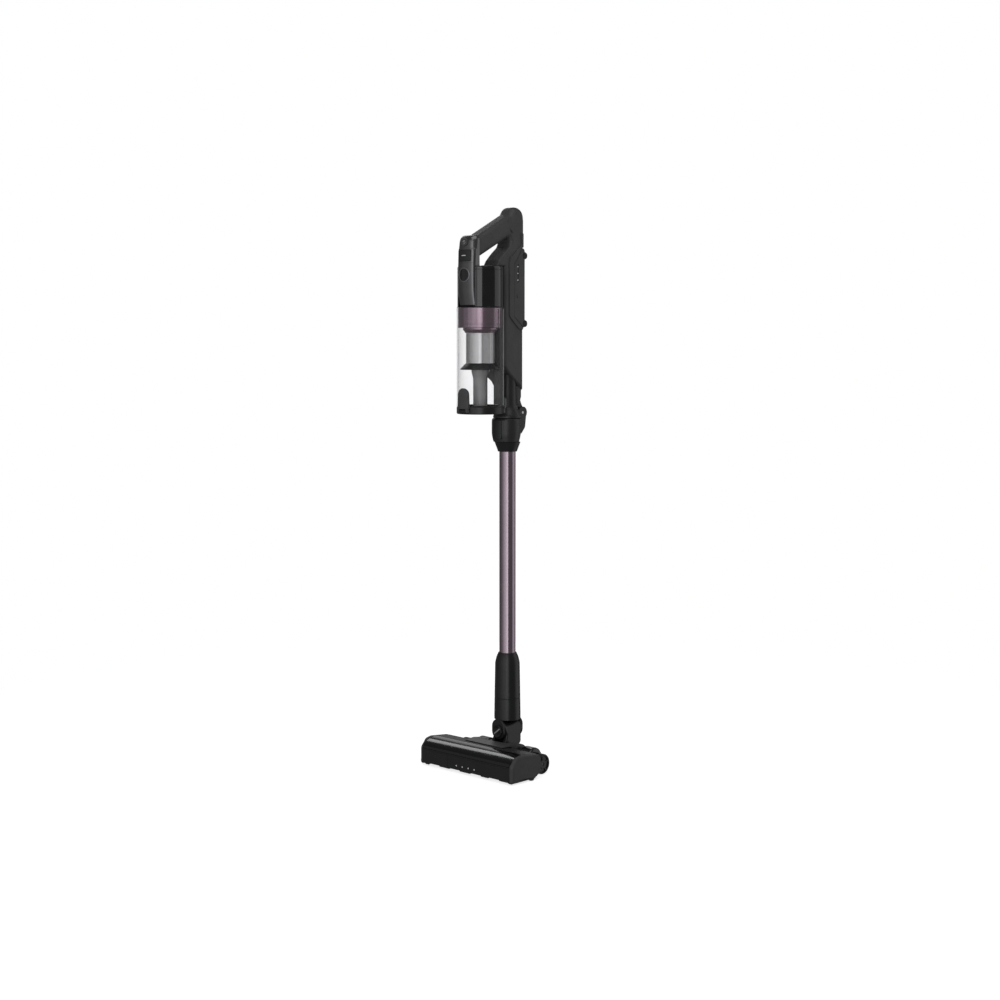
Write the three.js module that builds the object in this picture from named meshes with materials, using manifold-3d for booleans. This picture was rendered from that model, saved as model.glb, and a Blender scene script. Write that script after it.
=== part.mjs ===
// Cordless stick vacuum cleaner, parked upright, in millimetres with +Z up.
// The floor head faces -Y. Heights are above the floor. Inside the machine group Y is measured from the
// wand's axis, and the group is placed so that the origin is the footprint's centre at floor level.
import * as THREE from "three";
import { mergeVertices } from "three/addons/utils/BufferGeometryUtils.js";
import Module from "manifold-3d";

const wasm = await Module();
wasm.setup();

// ---------------------------------------------------------------- driving dimensions
const GAP = 0.3; // air between two pieces that touch
const PLAY = 0.12; // what a turning eye's radius is over its pin's
const WAND_Y = 44.5; // the wand's axis, from the centre of the footprint

const HEAD = { half: 125, cap: 8, front: -121, rear: -42, floor: 4, top: 52.6, wall: 2.8 };
const BRUSH = { y: -91.5, z: 24.5, core: 12, tip: 19.3, half: 104, pulley: 11 };
const MOTOR_SHAFT = { y: -56.5, z: 25, pulley: 6 }; // brush motor
const BELT = { from: 107.5, to: 113.5, thick: 1.3 };
const WHEEL = { x: 94, width: 12, y: -13, z: 19.5, r: 19.5, bore: 3.2 };
const ROLLER = { x: 108, width: 7, y: -111, z: 6, r: 6 };
const LED = { xs: [-24, -8, 8, 24], z: 14, r: 2 };

const PITCH = { y: -20, z: 31, r: 18, half: 26 }; // axis along X: the neck leans back
const ROLL = { z: 70, r: 19, half: 22, ear: 16.5 }; // axis along Y: the wand leans sideways
const PIN = 4; // radius of the neck's pins

const TUBE = { r: 16, wall: 1.2, from: 121, to: 664 };
const SLEEVE = { from: 91, shoulder: 207, to: 224, low: 26, high: 24.3 };
const SOCKET = { y: -3.5, r: 28.5, from: 640, chamfer: 655, to: 686.2 };
const FOLD = { y: 27, z: 697, r: 11.5, pin: 3 }; // axis along X: the body folds back onto the wand

const CUP = { y: -77, r: 45.6, wall: 2.3, from: 711.5, to: 900.8 };
const LID = { from: 697, to: 711, pinY: -124.2, pinZ: 703, knuckle: 3.3, pin: 1.6 };
const BAND = { from: 862, to: 898 };
const MESH = { r: 27.5, from: 794.3, to: 852 };
const HOUSING = { r: 44, wall: 2.5, from: 901.8, to: 979.5 };
const NOSE = { half: 22, back: -101.5, from: 901.8, to: 1037.5 };
const BODY = { half: 20, wall: 3.2, rim: 5, rear: 29, spine: 24, front: -29, top: 1096 };
const BATTERY = { front: -3, rear: 29, from: 863, to: 1017.5 };
const BUMPER = { y: 29.5, r: 7, zs: [1003, 871] };

// ---------------------------------------------------------------- finishes
const finish = (color, roughness, metalness = 0, extra = {}) =>
  new THREE.MeshStandardMaterial({ color, roughness, metalness, ...extra });
const black = finish(0x222324, 0.5);
const gloss = finish(0x141516, 0.12);
const graphite = finish(0x3a3a3d, 0.45);
const grey = finish(0x6f7072, 0.5);
const mauveMetal = finish(0x8d7682, 0.28, 1);
const mauveGloss = finish(0x6d5865, 0.18, 0.8);
const steel = finish(0xc4c5c8, 0.3, 1);
const clear = finish(0xe9eaec, 0.06, 0, { transparent: true, opacity: 0.25 });
const rubber = finish(0x17181a, 0.85);
const felt = finish(0x4a3f45, 0.95);
const bristle = finish(0x5c4a55, 0.9);
const cellWrap = finish(0x2f5f8f, 0.4);
const ledWhite = finish(0xf2f4f6, 0.3);
const board = finish(0x1f5a3a, 0.5);
const paper = finish(0xdcdcd6, 0.9);

// ---------------------------------------------------------------- shape helpers
// Local (u, v, depth) axes of an outline that is extruded along X, Y or Z.
const [X, Y, Z] = [new THREE.Vector3(1, 0, 0), new THREE.Vector3(0, 1, 0), new THREE.Vector3(0, 0, 1)];
const ALONG = {
  x: new THREE.Matrix4().makeBasis(Y, Z, X),
  y: new THREE.Matrix4().makeBasis(Z, X, Y),
  z: new THREE.Matrix4(),
};

// A closed three.js geometry as a manifold-3d solid.
function solid(geometry) {
  const bare = new THREE.BufferGeometry().setAttribute("position", geometry.getAttribute("position"));
  if (geometry.index) bare.setIndex(geometry.index);
  const merged = mergeVertices(bare, 1e-4);
  const corners = [...merged.index.array];
  const kept = [];
  for (let i = 0; i < corners.length; i += 3) {
    const [a, b, c] = corners.slice(i, i + 3);
    if (a !== b && b !== c && c !== a) kept.push(a, b, c);
  }
  const vertProperties = merged.attributes.position.array;
  const build = (corners) =>
    new wasm.Manifold(new wasm.Mesh({ numProp: 3, vertProperties, triVerts: new Uint32Array(corners) }));
  const made = build(kept);
  return made.volume() > 0 ? made : build(kept.reverse());
}

// A corner list [u, v, radius] as points, with each radius as an arc.
function rounded(corners, steps = 3) {
  const points = [];
  corners.forEach(([u, v, radius = 0], i) => {
    const here = new THREE.Vector2(u, v);
    const [before, after] = [-1, 1].map((k) => {
      const [a, b] = corners[(i + k + corners.length) % corners.length];
      return new THREE.Vector2(a, b).sub(here).normalize();
    });
    if (!radius) return points.push(here);
    const half = before.angleTo(after) / 2;
    const reach = radius / Math.tan(half);
    const centre = before.clone().add(after).normalize().multiplyScalar(radius / Math.sin(half)).add(here);
    const start = before.multiplyScalar(reach).add(here).sub(centre);
    const end = after.multiplyScalar(reach).add(here).sub(centre);
    const turn = Math.atan2(start.cross(end), start.dot(end));
    for (let k = 0; k <= steps; k++)
      points.push(start.clone().rotateAround(new THREE.Vector2(), (turn * k) / steps).add(centre));
  });
  return points;
}

const circle = (u, v, r, steps = 24) =>
  Array.from({ length: steps }, (_, k) => {
    const angle = (2 * Math.PI * k) / steps;
    return new THREE.Vector2(u + r * Math.cos(angle), v + r * Math.sin(angle));
  });

const rectangle = (u0, v0, u1, v1, r = 0) =>
  rounded([[u0, v0, r], [u1, v0, r], [u1, v1, r], [u0, v1, r]]);

// The sharp-cornered outline that lies d inside a list of corners.
function inset(corners, d) {
  const points = corners.map(([u, v]) => new THREE.Vector2(u, v));
  const side = THREE.ShapeUtils.isClockWise(points) ? -1 : 1;
  const normal = (a, b) => new THREE.Vector2(-(b.y - a.y), b.x - a.x).normalize().multiplyScalar(side);
  return points.map((p, i) => {
    const a = normal(points.at(i - 1), p);
    const b = normal(p, points[(i + 1) % points.length]);
    const mid = a.clone().add(b).normalize();
    return mid.multiplyScalar(d / Math.max(0.35, mid.dot(a))).add(p);
  });
}

// An outline extruded along an axis from one station to another. A rim rounds the two end edges.
// Outlines are (y, z) along x, (z, x) along y and (x, y) along z.
function slab(outline, axis, from, to, rim = 0, holes = [], steps = 1) {
  const shape = new THREE.Shape(outline);
  shape.holes = holes.map((hole) => new THREE.Path(hole));
  const geometry = new THREE.ExtrudeGeometry(shape, {
    depth: to - from - 2 * rim,
    steps,
    bevelEnabled: rim > 0,
    bevelSize: rim,
    bevelThickness: rim,
    bevelOffset: -rim,
    bevelSegments: 2,
  });
  geometry.translate(0, 0, from + rim).applyMatrix4(ALONG[axis]);
  return solid(geometry);
}

const block = (x0, x1, y0, y1, z0, z1) => {
  const box = new THREE.BoxGeometry(x1 - x0, y1 - y0, z1 - z0);
  return solid(box.translate((x0 + x1) / 2, (y0 + y1) / 2, (z0 + z1) / 2));
};

// A profile of [radius, height] turned about the vertical axis through (0, y).
function turned(profile, y = 0, segments = 24) {
  const points = profile.map(([r, h]) => new THREE.Vector2(r, h));
  const open = points[0].x > 0 || points.at(-1).x > 0;
  if (open) points.push(points[0].clone());
  const lathe = new THREE.LatheGeometry(points, segments);
  return solid(lathe.rotateX(Math.PI / 2).translate(0, y, 0));
}

const tube = (r, bore, from, to, y = 0, segments = 24) =>
  turned([[bore, from], [r, from], [r, to], [bore, to]], y, segments);

// A round bar along x through (y, z), or along y through (x, z), or along z through (x, y).
const rod = (axis, u, v, r, from, to, steps = 20) => slab(circle(u, v, r, steps), axis, from, to);

const mirrored = (solidBody) => solidBody.mirror([1, 0, 0]);
const joined = (...solids) => solids.reduce((a, b) => a.add(b));
const cut = (body, ...tools) => tools.reduce((a, b) => a.subtract(b), body);

// ---------------------------------------------------------------- the model's tree
const machine = new THREE.Group();
machine.position.y = WAND_Y;

function piece(name, body, material) {
  const { numProp, numVert, vertProperties, triVerts } = body.getMesh();
  const positions = new Float32Array(numVert * 3);
  for (let i = 0; i < numVert; i++) {
    const start = i * numProp;
    positions.set(vertProperties.subarray(start, start + 3), i * 3);
  }
  const geometry = new THREE.BufferGeometry()
    .setAttribute("position", new THREE.BufferAttribute(positions, 3))
    .setIndex(new THREE.BufferAttribute(triVerts, 1));
  geometry.computeVertexNormals();
  const mesh = new THREE.Mesh(geometry, material);
  mesh.name = name;
  machine.add(mesh);
}

// ---------------------------------------------------------------- floor head
const inner = HEAD.half - HEAD.cap - GAP; // half width between the end caps

// Moulded floor tray: sole, chamber wall, rear wall and the arm that carries the left wheel.
function headBase() {
  const { front, rear, floor } = HEAD;
  const section = rounded([
    [front + 5.5, floor], [rear, floor], [rear, 30], [rear - 3, 30], [rear - 3, floor + 3], [-68, floor + 3],
    [-68, 40], [-71, 40], [-71, floor + 3], [front + 5.5, floor + 3],
  ]);
  const slot = block(-106, 106, front + 8, -72, 0, 10);
  const rollerPocket = block(ROLLER.x - 1, ROLLER.x + ROLLER.width + 1, -118, -104, 0, 20);
  const beltWindow = block(BELT.from - 1, BELT.to + 1, -72, -67, 8, 41);
  const arm = joined(
    slab(rounded([[rear - 1, 8], [WHEEL.y, 11.5], [WHEEL.y, 27.5], [rear - 1, 27.5]]), "x", -92, -82),
    rod("x", WHEEL.y, WHEEL.z, 8, -92, -82),
    rod("x", WHEEL.y, WHEEL.z, WHEEL.bore - 0.4, -WHEEL.x - WHEEL.width + 1, -84, 16),
  );
  const airway = block(-12, 12, -75, rear + 1, 12, 41);
  const tray = slab(section, "x", -inner, inner);
  return cut(joined(tray, arm), slot, rollerPocket, mirrored(rollerPocket), beltWindow, airway);
}

function headDeck() {
  const { rear, top, wall } = HEAD;
  const section = rounded([
    [-83.6, top], [rear - 1, top - 5, 4], [rear, 30.3], [rear - wall, 30.3],
    [rear - wall - 1, top - 8], [-83.6, top - wall],
  ]);
  const airway = rod("y", PITCH.z, 0, 12, rear - 5, rear + 1);
  return cut(slab(section, "x", -inner, inner), airway);
}

// Quarter-round see-through cover over the brush.
function brushWindow() {
  const over = new THREE.EllipseCurve(-84, 34.4, 36.8, 18.2, Math.PI, Math.PI / 2, true);
  const under = new THREE.EllipseCurve(-84, 34.4, 34.2, 15.8, Math.PI / 2, Math.PI, false);
  return slab([...over.getPoints(10), ...under.getPoints(10)], "x", -inner, inner);
}

function headBumper() {
  const { front } = HEAD;
  const holes = LED.xs.map((x) => circle(LED.z, x, LED.r + GAP, 12));
  const plate = slab(rectangle(4.5, -inner, 34, inner, 2), "y", front, front + 5, 0, holes);
  const roller = block(ROLLER.x - 1, ROLLER.x + ROLLER.width + 1, front + 3.2, -104, 0, 13.5);
  return cut(plate, roller, mirrored(roller));
}

function ledBar() {
  const bar = block(-30, 30, HEAD.front + 5.4, HEAD.front + 8, LED.z - 3.5, LED.z + 3.5);
  const lenses = LED.xs.map((x) => rod("y", LED.z, x, LED.r, HEAD.front - 0.2, HEAD.front + 6, 12));
  return joined(bar, ...lenses);
}

function endCap() {
  const { half, cap, front } = HEAD;
  const outline = rounded([
    [front, 3, 3], [front, 36, 12], [-108, 50.5, 14], [-92, HEAD.top + 0.4, 30], [-46, HEAD.top - 4.6, 5],
    [-40, 40, 6], [-40, 13, 5], [-58, 3, 6],
  ]);
  const foot = slab(rounded([[-70, 4], [-67, 0], [-60, 0], [-57, 4]]), "x", half - 6.5, half - 1.5);
  return joined(slab(outline, "x", half - cap, half, 2), foot);
}

// Cradle of the neck: two round cheeks, a floor, a front wall and the sloping cover on the deck.
function pivotCradle() {
  const { y, z, half } = PITCH;
  const cheekFrom = half + 1;
  const pinHole = rod("x", y, z, PIN + 0.1, cheekFrom - 1, 49, 16);
  const cheek = cut(rod("x", y, z, 20.5, cheekFrom, 52, 28), pinHole);
  const floorPlate = block(-52, 52, HEAD.rear + GAP, -8, 8, 10.5);
  const frontWall = block(-52, 52, HEAD.rear + GAP, HEAD.rear + 3.3, 9, 47);
  const saddle = slab(rounded([
    [-70, 51.6], [-43, 50, 2], [HEAD.rear + 3, 46], [-30, 46], [-30, 51.3], [-44, 53.6, 6], [-70, 52.9],
  ]), "x", -50, 50);
  const mouth = rod("y", z, 0, 13, -45, -36, 20);
  const room = rod("x", y, z, PITCH.r + 1.2, -cheekFrom, cheekFrom, 28);
  const sweep = block(-cheekFrom, cheekFrom, -38.6, 0, z, 60);
  const cradle = joined(cheek, mirrored(cheek), floorPlate, frontWall, saddle);
  return cut(cradle, mouth, room, sweep, headDeckRoom());
}

// The deck's own space, with air round it, for pieces that sit on it.
function headDeckRoom() {
  const { rear, top } = HEAD;
  return slab(rounded([
    [-84, top + GAP], [rear - 1, top - 5 + GAP, 4], [rear + GAP, 30], [rear - 3, 20], [-84, 30],
  ]), "x", -60, 60);
}

// Pod behind the head for the nozzle's electronics, with the right wheel's stub axle.
function controlPod() {
  const { rear } = HEAD;
  const dome = rod("x", -19, 29.5, 20.5, 62, 92, 28);
  const foot = block(62, 92, rear + GAP, -19, 10, 40);
  const stub = rod("x", WHEEL.y, WHEEL.z, WHEEL.bore - 0.4, 90, WHEEL.x + WHEEL.width - 1, 16);
  const hollow = rod("x", -19, 29.5, 18, 64.5, 89.5, 20);
  const mouth = block(66, 88, rear - 1, -30, 16, 30);
  return joined(cut(joined(dome, foot), hollow, mouth), stub);
}

// Core with four twisted rows of bristle.
function brushRoll() {
  const rows = 4;
  const star = [];
  for (let k = 0; k < rows; k++) {
    const at = (2 * Math.PI * k) / rows;
    const polar = (r, a) => star.push(new THREE.Vector2(r * Math.cos(at + a), r * Math.sin(at + a)));
    polar(BRUSH.core, -0.35);
    polar(BRUSH.core, -0.13);
    polar(BRUSH.tip, -0.1);
    polar(BRUSH.tip, 0.1);
    polar(BRUSH.core, 0.13);
    polar(BRUSH.core, 0.35);
  }
  const length = { depth: 2 * BRUSH.half, steps: 10, bevelEnabled: false };
  const geometry = new THREE.ExtrudeGeometry(new THREE.Shape(star), length);
  const at = geometry.getAttribute("position");
  const point = new THREE.Vector2();
  for (let i = 0; i < at.count; i++) {
    const twist = (Math.abs(at.getZ(i) - BRUSH.half) / BRUSH.half) * (Math.PI / 2);
    point.set(at.getX(i), at.getY(i)).rotateAround(new THREE.Vector2(), twist);
    at.setXY(i, point.x, point.y);
  }
  geometry.translate(0, 0, -BRUSH.half).applyMatrix4(ALONG.x).translate(0, BRUSH.y, BRUSH.z);
  return joined(solid(geometry), rod("x", BRUSH.y, BRUSH.z, 4, -BRUSH.half - 6, BRUSH.half + 2, 12));
}

// Flat belt round two pulleys, as the outline of two circles and the hole inside it.
function driveBelt() {
  const loop = (grow) => {
    const span = new THREE.Vector2(MOTOR_SHAFT.y - BRUSH.y, MOTOR_SHAFT.z - BRUSH.z);
    const big = BRUSH.pulley + grow;
    const small = MOTOR_SHAFT.pulley + grow;
    const lean = Math.acos((big - small) / span.length());
    const points = [];
    const arc = (y, z, r, from, to) => {
      for (let k = 0; k <= 10; k++) {
        const angle = span.angle() + from + ((to - from) * k) / 10;
        points.push(new THREE.Vector2(y + r * Math.cos(angle), z + r * Math.sin(angle)));
      }
    };
    arc(BRUSH.y, BRUSH.z, big, lean, 2 * Math.PI - lean);
    arc(MOTOR_SHAFT.y, MOTOR_SHAFT.z, small, -lean, lean);
    return points;
  };
  return slab(loop(GAP + BELT.thick), "x", BELT.from, BELT.to, 0, [loop(GAP)]);
}

const pulley = ({ y, z, pulley: r }, bore) =>
  cut(rod("x", y, z, r, BELT.from - 0.5, BELT.to + 0.5, 24), rod("x", y, z, bore, 100, 120, 12));

function brushMotor() {
  const { y, z } = MOTOR_SHAFT;
  const can = rod("x", y, z, 10.5, 44, 96, 20);
  return cut(joined(can, rod("x", y, z, 5, 96, 102, 16)), rod("x", y, z, 2.4, 60, 103, 12));
}

const motorShaft = () =>
  joined(pulley(MOTOR_SHAFT, 1.9), rod("x", MOTOR_SHAFT.y, MOTOR_SHAFT.z, 2, 64, BELT.to + 0.5, 12));

function wheel() {
  const { y, z, r, x, width, bore } = WHEEL;
  const chamfer = 1.2;
  const profile = [
    [bore, 0], [r - chamfer, 0], [r, chamfer], [r, width - chamfer], [r - chamfer, width],
    [16.5, width], [15.5, width - 2.5], [9, width - 2.5], [8, width], [bore, width],
  ];
  const points = profile.map(([a, b]) => new THREE.Vector2(a, b));
  const lathe = new THREE.LatheGeometry([...points, points[0].clone()], 28);
  return solid(lathe.rotateZ(-Math.PI / 2).translate(x, y, z));
}

const roller = () =>
  slab(circle(ROLLER.y, ROLLER.z, ROLLER.r, 20), "x", ROLLER.x, ROLLER.x + ROLLER.width, 1);

// ---------------------------------------------------------------- neck
function neckElbow() {
  const { y, z, r, half } = PITCH;
  const barrel = rod("x", y, z, r, -half, half, 28);
  const riser = slab(rounded([
    [-37, 34], [-25, 26], [-2, 27, 6], [20, 44, 8], [20, 70], [-20, 70], [-22, 56, 6],
  ]), "x", -19, 19, 3);
  const head = rod("y", ROLL.z, 0, ROLL.r, -ROLL.half, ROLL.half, 28);
  const pitchBore = rod("x", y, z, PIN + 0.1, half - 13, half + 1, 16);
  const rollBore = (from, to) => rod("y", ROLL.z, 0, PIN + 0.1, from, to, 16);
  const duct = slab(rounded([
    [-46, 20], [-30, 20, 4], [10, 72], [10, 96], [-12, 96], [-12, 72], [-32, 42, 4], [-46, 42],
  ]), "x", -11.5, 11.5);
  return cut(
    joined(barrel, riser, head), pitchBore, mirrored(pitchBore),
    rollBore(-ROLL.half - 1, -ROLL.half + 9), rollBore(ROLL.half - 9, ROLL.half + 1), duct,
  );
}

const pitchPin = () => rod("x", PITCH.y, PITCH.z, PIN, PITCH.half - 12.5, 48.7, 16);

// Pin with a dished cap, behind the elbow or, when way is -1, in front of it.
function rollPin(way) {
  const { half, z } = ROLL;
  const shank = rod("y", z, 0, PIN, half - 8.5, half + 7, 16);
  const profile = [[0, 0], [11, 0], [12.5, 1], [12.5, 2], [11.3, 2.9], [5, 1.6], [0, 1.6]];
  const dish = new THREE.LatheGeometry(profile.map(([a, b]) => new THREE.Vector2(a, b)), 24);
  const cap = solid(dish.translate(0, half + 6.7, z));
  const made = joined(shank, cap);
  return way < 0 ? made.mirror([0, 1, 0]) : made;
}

// Tapered sleeve that holds the wand's lower end, with two ears round the elbow.
function neckSleeve() {
  const { from, shoulder, to, low, high } = SLEEVE;
  const seat = TUBE.r + GAP;
  const sleeve = turned([
    [14.5, from], [low, from], [low, from + 10], [high, shoulder - 3], [high - 0.8, shoulder + 1],
    [21.5, shoulder + 9], [18.6, to - 2], [17.4, to], [seat, to], [seat, TUBE.from - GAP],
    [14.5, TUBE.from - GAP],
  ]);
  const { z, ear: round } = ROLL;
  const ear = slab(rounded([
    [z - round, -round, round - 0.5], [z - round, round, round - 0.5],
    [from + 6, round, 13], [from + 6, -round, 13],
  ], 6), "y", ROLL.half + 0.5, ROLL.half + 6.2);
  const ears = joined(ear, ear.mirror([0, 1, 0]));
  const bore = rod("y", ROLL.z, 0, PIN + 0.1, -40, 40, 16);
  const pocket = block(-8.4, 8.4, 20.4, 30, 163, 191);
  return cut(joined(sleeve, ears), bore, pocket, rod("z", 0, 0, seat, TUBE.from, to + 1, 24));
}

const sleeveButton = () =>
  slab(rounded([[23.4, 163.6], [27.4, 166, 2], [27.4, 188, 2], [23.4, 190.4]]), "x", -8, 8);

// ---------------------------------------------------------------- wand and fold joint
const wandTube = () => tube(TUBE.r, TUBE.r - TUBE.wall, TUBE.from, TUBE.to, 0, 28);

const hingeBar = (r, from, to, steps = 24) => rod("x", FOLD.y, FOLD.z, r, from, to, steps);

// Socket at the wand's top: an eccentric body with a button pocket and two hinge ears behind.
function wandSocket() {
  const { y, r, from, chamfer, to } = SOCKET;
  const foot = from + GAP;
  const body = turned([[0, foot], [25.4, foot], [r, chamfer], [r, to - 3], [r - 2, to], [0, to]], y);
  const ear = joined(
    hingeBar(FOLD.r, 10, 16.5, 20),
    slab(rounded([[4, 684], [4, 662], [20, 656, 4], [35.5, 689], [19, 705], [8, 684]]), "x", 10, 16.5),
  );
  const pocket = block(-11.6, 11.6, -40, -24, 646.5, 683.5);
  const seat = rod("z", 0, 0, TUBE.r + GAP, from - 1, TUBE.to + GAP, 24);
  const bore = rod("z", 0, 0, TUBE.r - TUBE.wall, from, to + 1, 24);
  const pinHole = hingeBar(FOLD.pin + 0.05, -20, 20, 16);
  const hingeRoom = hingeBar(17.5, -9.8, 9.8);
  return cut(joined(cut(body, hingeRoom), ear, mirrored(ear)), pocket, seat, bore, pinHole);
}

const socketCollar = () =>
  turned([[TUBE.r + GAP, 621], [19, 621], [25.4, SOCKET.from], [TUBE.r + GAP, SOCKET.from]]);

function foldButton() {
  const { y, r } = SOCKET;
  const barrel = turned([[0, 640], [r + 0.4, 640], [r + 1.2, 665], [r + 0.4, 690], [0, 690]], y, 32);
  return block(-11.2, 11.2, -36, -27.5, 647, 683).intersect(barrel);
}

// Suction duct of the handheld unit, with the flange and the middle knuckle of the fold hinge.
function inletKnuckle() {
  const to = 790;
  const flange = turned([
    [0, 686.6], [28, 686.6], [28.3, 690], [24, 699], [19.6, 707], [17.2, 716], [17.2, to], [0, to],
  ]);
  const rib = slab(rounded([
    [10, 700], [FOLD.y, FOLD.z], [35.5, 704.5], [29.5, 714, 3], [23.6, 728, 8], [23.2, 740], [10, 740],
  ]), "x", -9.4, 9.4);
  const earRoom = joined(hingeBar(FOLD.r + 0.5, 9.6, 17), block(9.6, 17, 7, 45, 680, FOLD.z + 6));
  const knuckle = hingeBar(FOLD.r - GAP, -9.4, 9.4);
  const below = cut(block(-9.6, 9.6, 10, 45, 680, SOCKET.to + 0.1), hingeBar(FOLD.r, -9.6, 9.6));
  const bore = rod("z", 0, 0, 15, 680, to + 1, 24);
  const eye = hingeBar(FOLD.pin + PLAY, -20, 20, 16);
  return cut(joined(cut(flange, earRoom, mirrored(earRoom)), rib, knuckle), bore, eye, below);
}

// ---------------------------------------------------------------- body of the handheld unit
// Side outline of the moulded body: handle, crown, rear post, battery bay, spine and the shoulder.
const bodyCorners = [
  [NOSE.back + GAP, 1034], [-9, 1081.5, 8], [0, BODY.top, 8], [BODY.rear, BODY.top, 15],
  [BODY.rear, BATTERY.to + 0.6],
  [19.6, BATTERY.to + 0.6], [BATTERY.front - 0.6, 985.2], [BATTERY.front - 0.6, 883.8],
  [BODY.spine - 0.6, BATTERY.from - 0.6], [BODY.spine, 860], [BODY.spine, 741.5], [-20, 776.5],
  [BODY.front, 788, 8], [BODY.front, HOUSING.to + 0.5], [-51, HOUSING.to + 0.5],
  [-43.5, 992, 12], [-28, 1007], [-13, 1019, 12], [-8, 1040, 6], [NOSE.back + GAP, 993],
];

function bodyShell() {
  const { half, wall, rim } = BODY;
  const outside = slab(rounded(bodyCorners, 4), "x", -half, half, rim);
  const inside = slab(inset(bodyCorners, wall), "x", -half + wall + 0.3, half - wall - 0.3);
  const duct = rod("z", 0, 0, 17.7, 735, 792, 24);
  const rib = block(-9.8, 9.8, 9, 30, 735, 741);
  return cut(outside, inside, duct, rib);
}

const rightHalf = (body) => body.intersect(block(GAP / 2, 60, -150, 60, 700, 1150));

const noseOutline = rounded([
  [NOSE.back, NOSE.from], [-116.5, NOSE.from, 5], [-121.6, 930, 60], [-122.3, 965, 100], [-121, 1010, 60],
  [-117, NOSE.to, 8], [NOSE.back, NOSE.to, 5],
]);

function noseShell() {
  const body = slab(noseOutline, "x", -NOSE.half, NOSE.half, 4);
  const hollow = slab(rounded([
    [-104.5, 906], [-114, 906], [-118.2, 930, 50], [-118.6, 965, 80], [-117.4, 1008, 50], [-114, 1031],
    [-104.5, 1031],
  ]), "x", -19, 19);
  const back = block(-17, 17, -106, -100, 908, 974);
  const power = rod("y", 1024, 0, 8.3, -130, -114, 20);
  const mode = block(-16.4, 16.4, -130, -114, 987.5, 1009.5);
  return cut(body, hollow, back, power, mode);
}

const powerButton = () => joined(
  slab(circle(1024, 0, 8, 20), "y", -121.8, -117.6, 0.8),
  rod("y", 1024, 0, 3, -118, -113, 12),
);

const modeButton = () => joined(
  slab(rectangle(988, -16, 1009, 16, 2), "y", -122.6, -118.4, 0.8),
  rod("y", 998.5, 0, 3, -119, -113, 12),
);

const controlBoard = () => block(-15, 15, -109.5, -108, 980, 1029);

function motorHousing() {
  const { r, wall, from, to } = HOUSING;
  const pot = turned([
    [0, to - wall], [r - wall, to - wall], [r - wall, from], [r, from], [r, to - 3], [r - 1, to - 0.8],
    [r - 3, to], [0, to],
  ], CUP.y, 32);
  const noseRoom = block(-NOSE.half - 0.4, NOSE.half + 0.4, -140, NOSE.back + GAP, 880, 1000);
  return cut(pot, noseRoom);
}

// Pleated ring filter between the cup and the motor.
function preMotorFilter() {
  const pleats = 20;
  const ring = [];
  for (let k = 0; k < 2 * pleats; k++) {
    const r = k % 2 ? 36 : 31.5;
    const angle = (Math.PI * k) / pleats;
    ring.push(new THREE.Vector2(r * Math.cos(angle), CUP.y + r * Math.sin(angle)));
  }
  const cutFront = block(-40, 40, -120, NOSE.back + 1, 900, 930);
  const pleated = slab(ring, "z", 907, 922, 0, [circle(0, CUP.y, 20, 20)]);
  return cut(joined(pleated, tube(37.5, 20, 904, 907, CUP.y, 28)), cutFront);
}

const fanStator = () =>
  cut(tube(23.5, 19.5, 927, 970, CUP.y, 28), block(-3, 3, CUP.y + 21, CUP.y + 27, 920, 980));

// Impeller, shaft and magnet rotor in one balanced assembly.
function fanRotor() {
  const hub = turned([
    [0, 928], [4, 928], [7, 931], [7, 937], [3, 940], [3, 945], [14, 945], [14, 966], [3, 966], [3, 972],
    [0, 972],
  ], CUP.y, 20);
  const blade = block(-0.8, 0.8, 4, 18.3, 929, 937);
  const count = 9;
  const blades = Array.from({ length: count }, (_, k) =>
    blade.rotate([0, 0, (360 * k) / count]).translate([0, CUP.y, 0]));
  return joined(hub, ...blades);
}

// ---------------------------------------------------------------- battery
const batteryCorners = [
  [BATTERY.front, 985], [20, BATTERY.to], [BATTERY.rear, BATTERY.to, 6.5], [BATTERY.rear, BATTERY.from, 4],
  [BODY.spine, BATTERY.from], [BATTERY.front, 884],
];

function batteryCase() {
  const { half } = BODY;
  const body = slab(rounded(batteryCorners), "x", -half, half, 2);
  const hollow = slab(inset(batteryCorners, 2.2), "x", -half + 2.6, half - 2.6);
  const contacts = block(-10, 10, BATTERY.front - 1, BATTERY.front + 6, 895, 915);
  const bars = BUMPER.zs.map((z) => rod("x", BUMPER.y, z, BUMPER.r + GAP, -30, 30, 20));
  const ledSlot = block(half - 6, half + 1, 6.6, 11.4, 950.5, 985.5);
  const port = rod("x", 8.5, 924, 3, half - 6, half + 1, 12);
  return cut(body, hollow, contacts, ...bars, ledSlot, port);
}

// Flat cells in a stack, with a strap of film round their middle.
function batteryCells() {
  const cells = [2, 6.6, 11.2, 15.8].map((y) => block(-15.5, 15.5, y, y + 4, 891, 984));
  return joined(block(-16, 16, 1.5, 20.3, 925, 950), ...cells);
}

const bumperBar = (z) => slab(circle(BUMPER.y, z, BUMPER.r, 20), "x", -BODY.half, BODY.half, 1.5);

function batteryLeds() {
  const { half } = BODY;
  const strip = block(half - 4, half - 2.5, 7, 11, 951, 985);
  const lenses = [955, 968, 981].map((z) => slab(circle(9, z, 1.8, 12), "x", half - 3, half + 0.2));
  return joined(strip, ...lenses);
}

// ---------------------------------------------------------------- dust cup
const dustCup = () => tube(CUP.r, CUP.r - CUP.wall, CUP.from, CUP.to, CUP.y, 32);

const cyclone = (profile, segments = 24) => turned(profile, CUP.y, segments);

// A solid that is drawn behind the Z axis, swung to the right rear of the cup.
const atRightRear = (body) => body.rotate([0, 0, -45]).translate([0, CUP.y, 0]);

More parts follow.
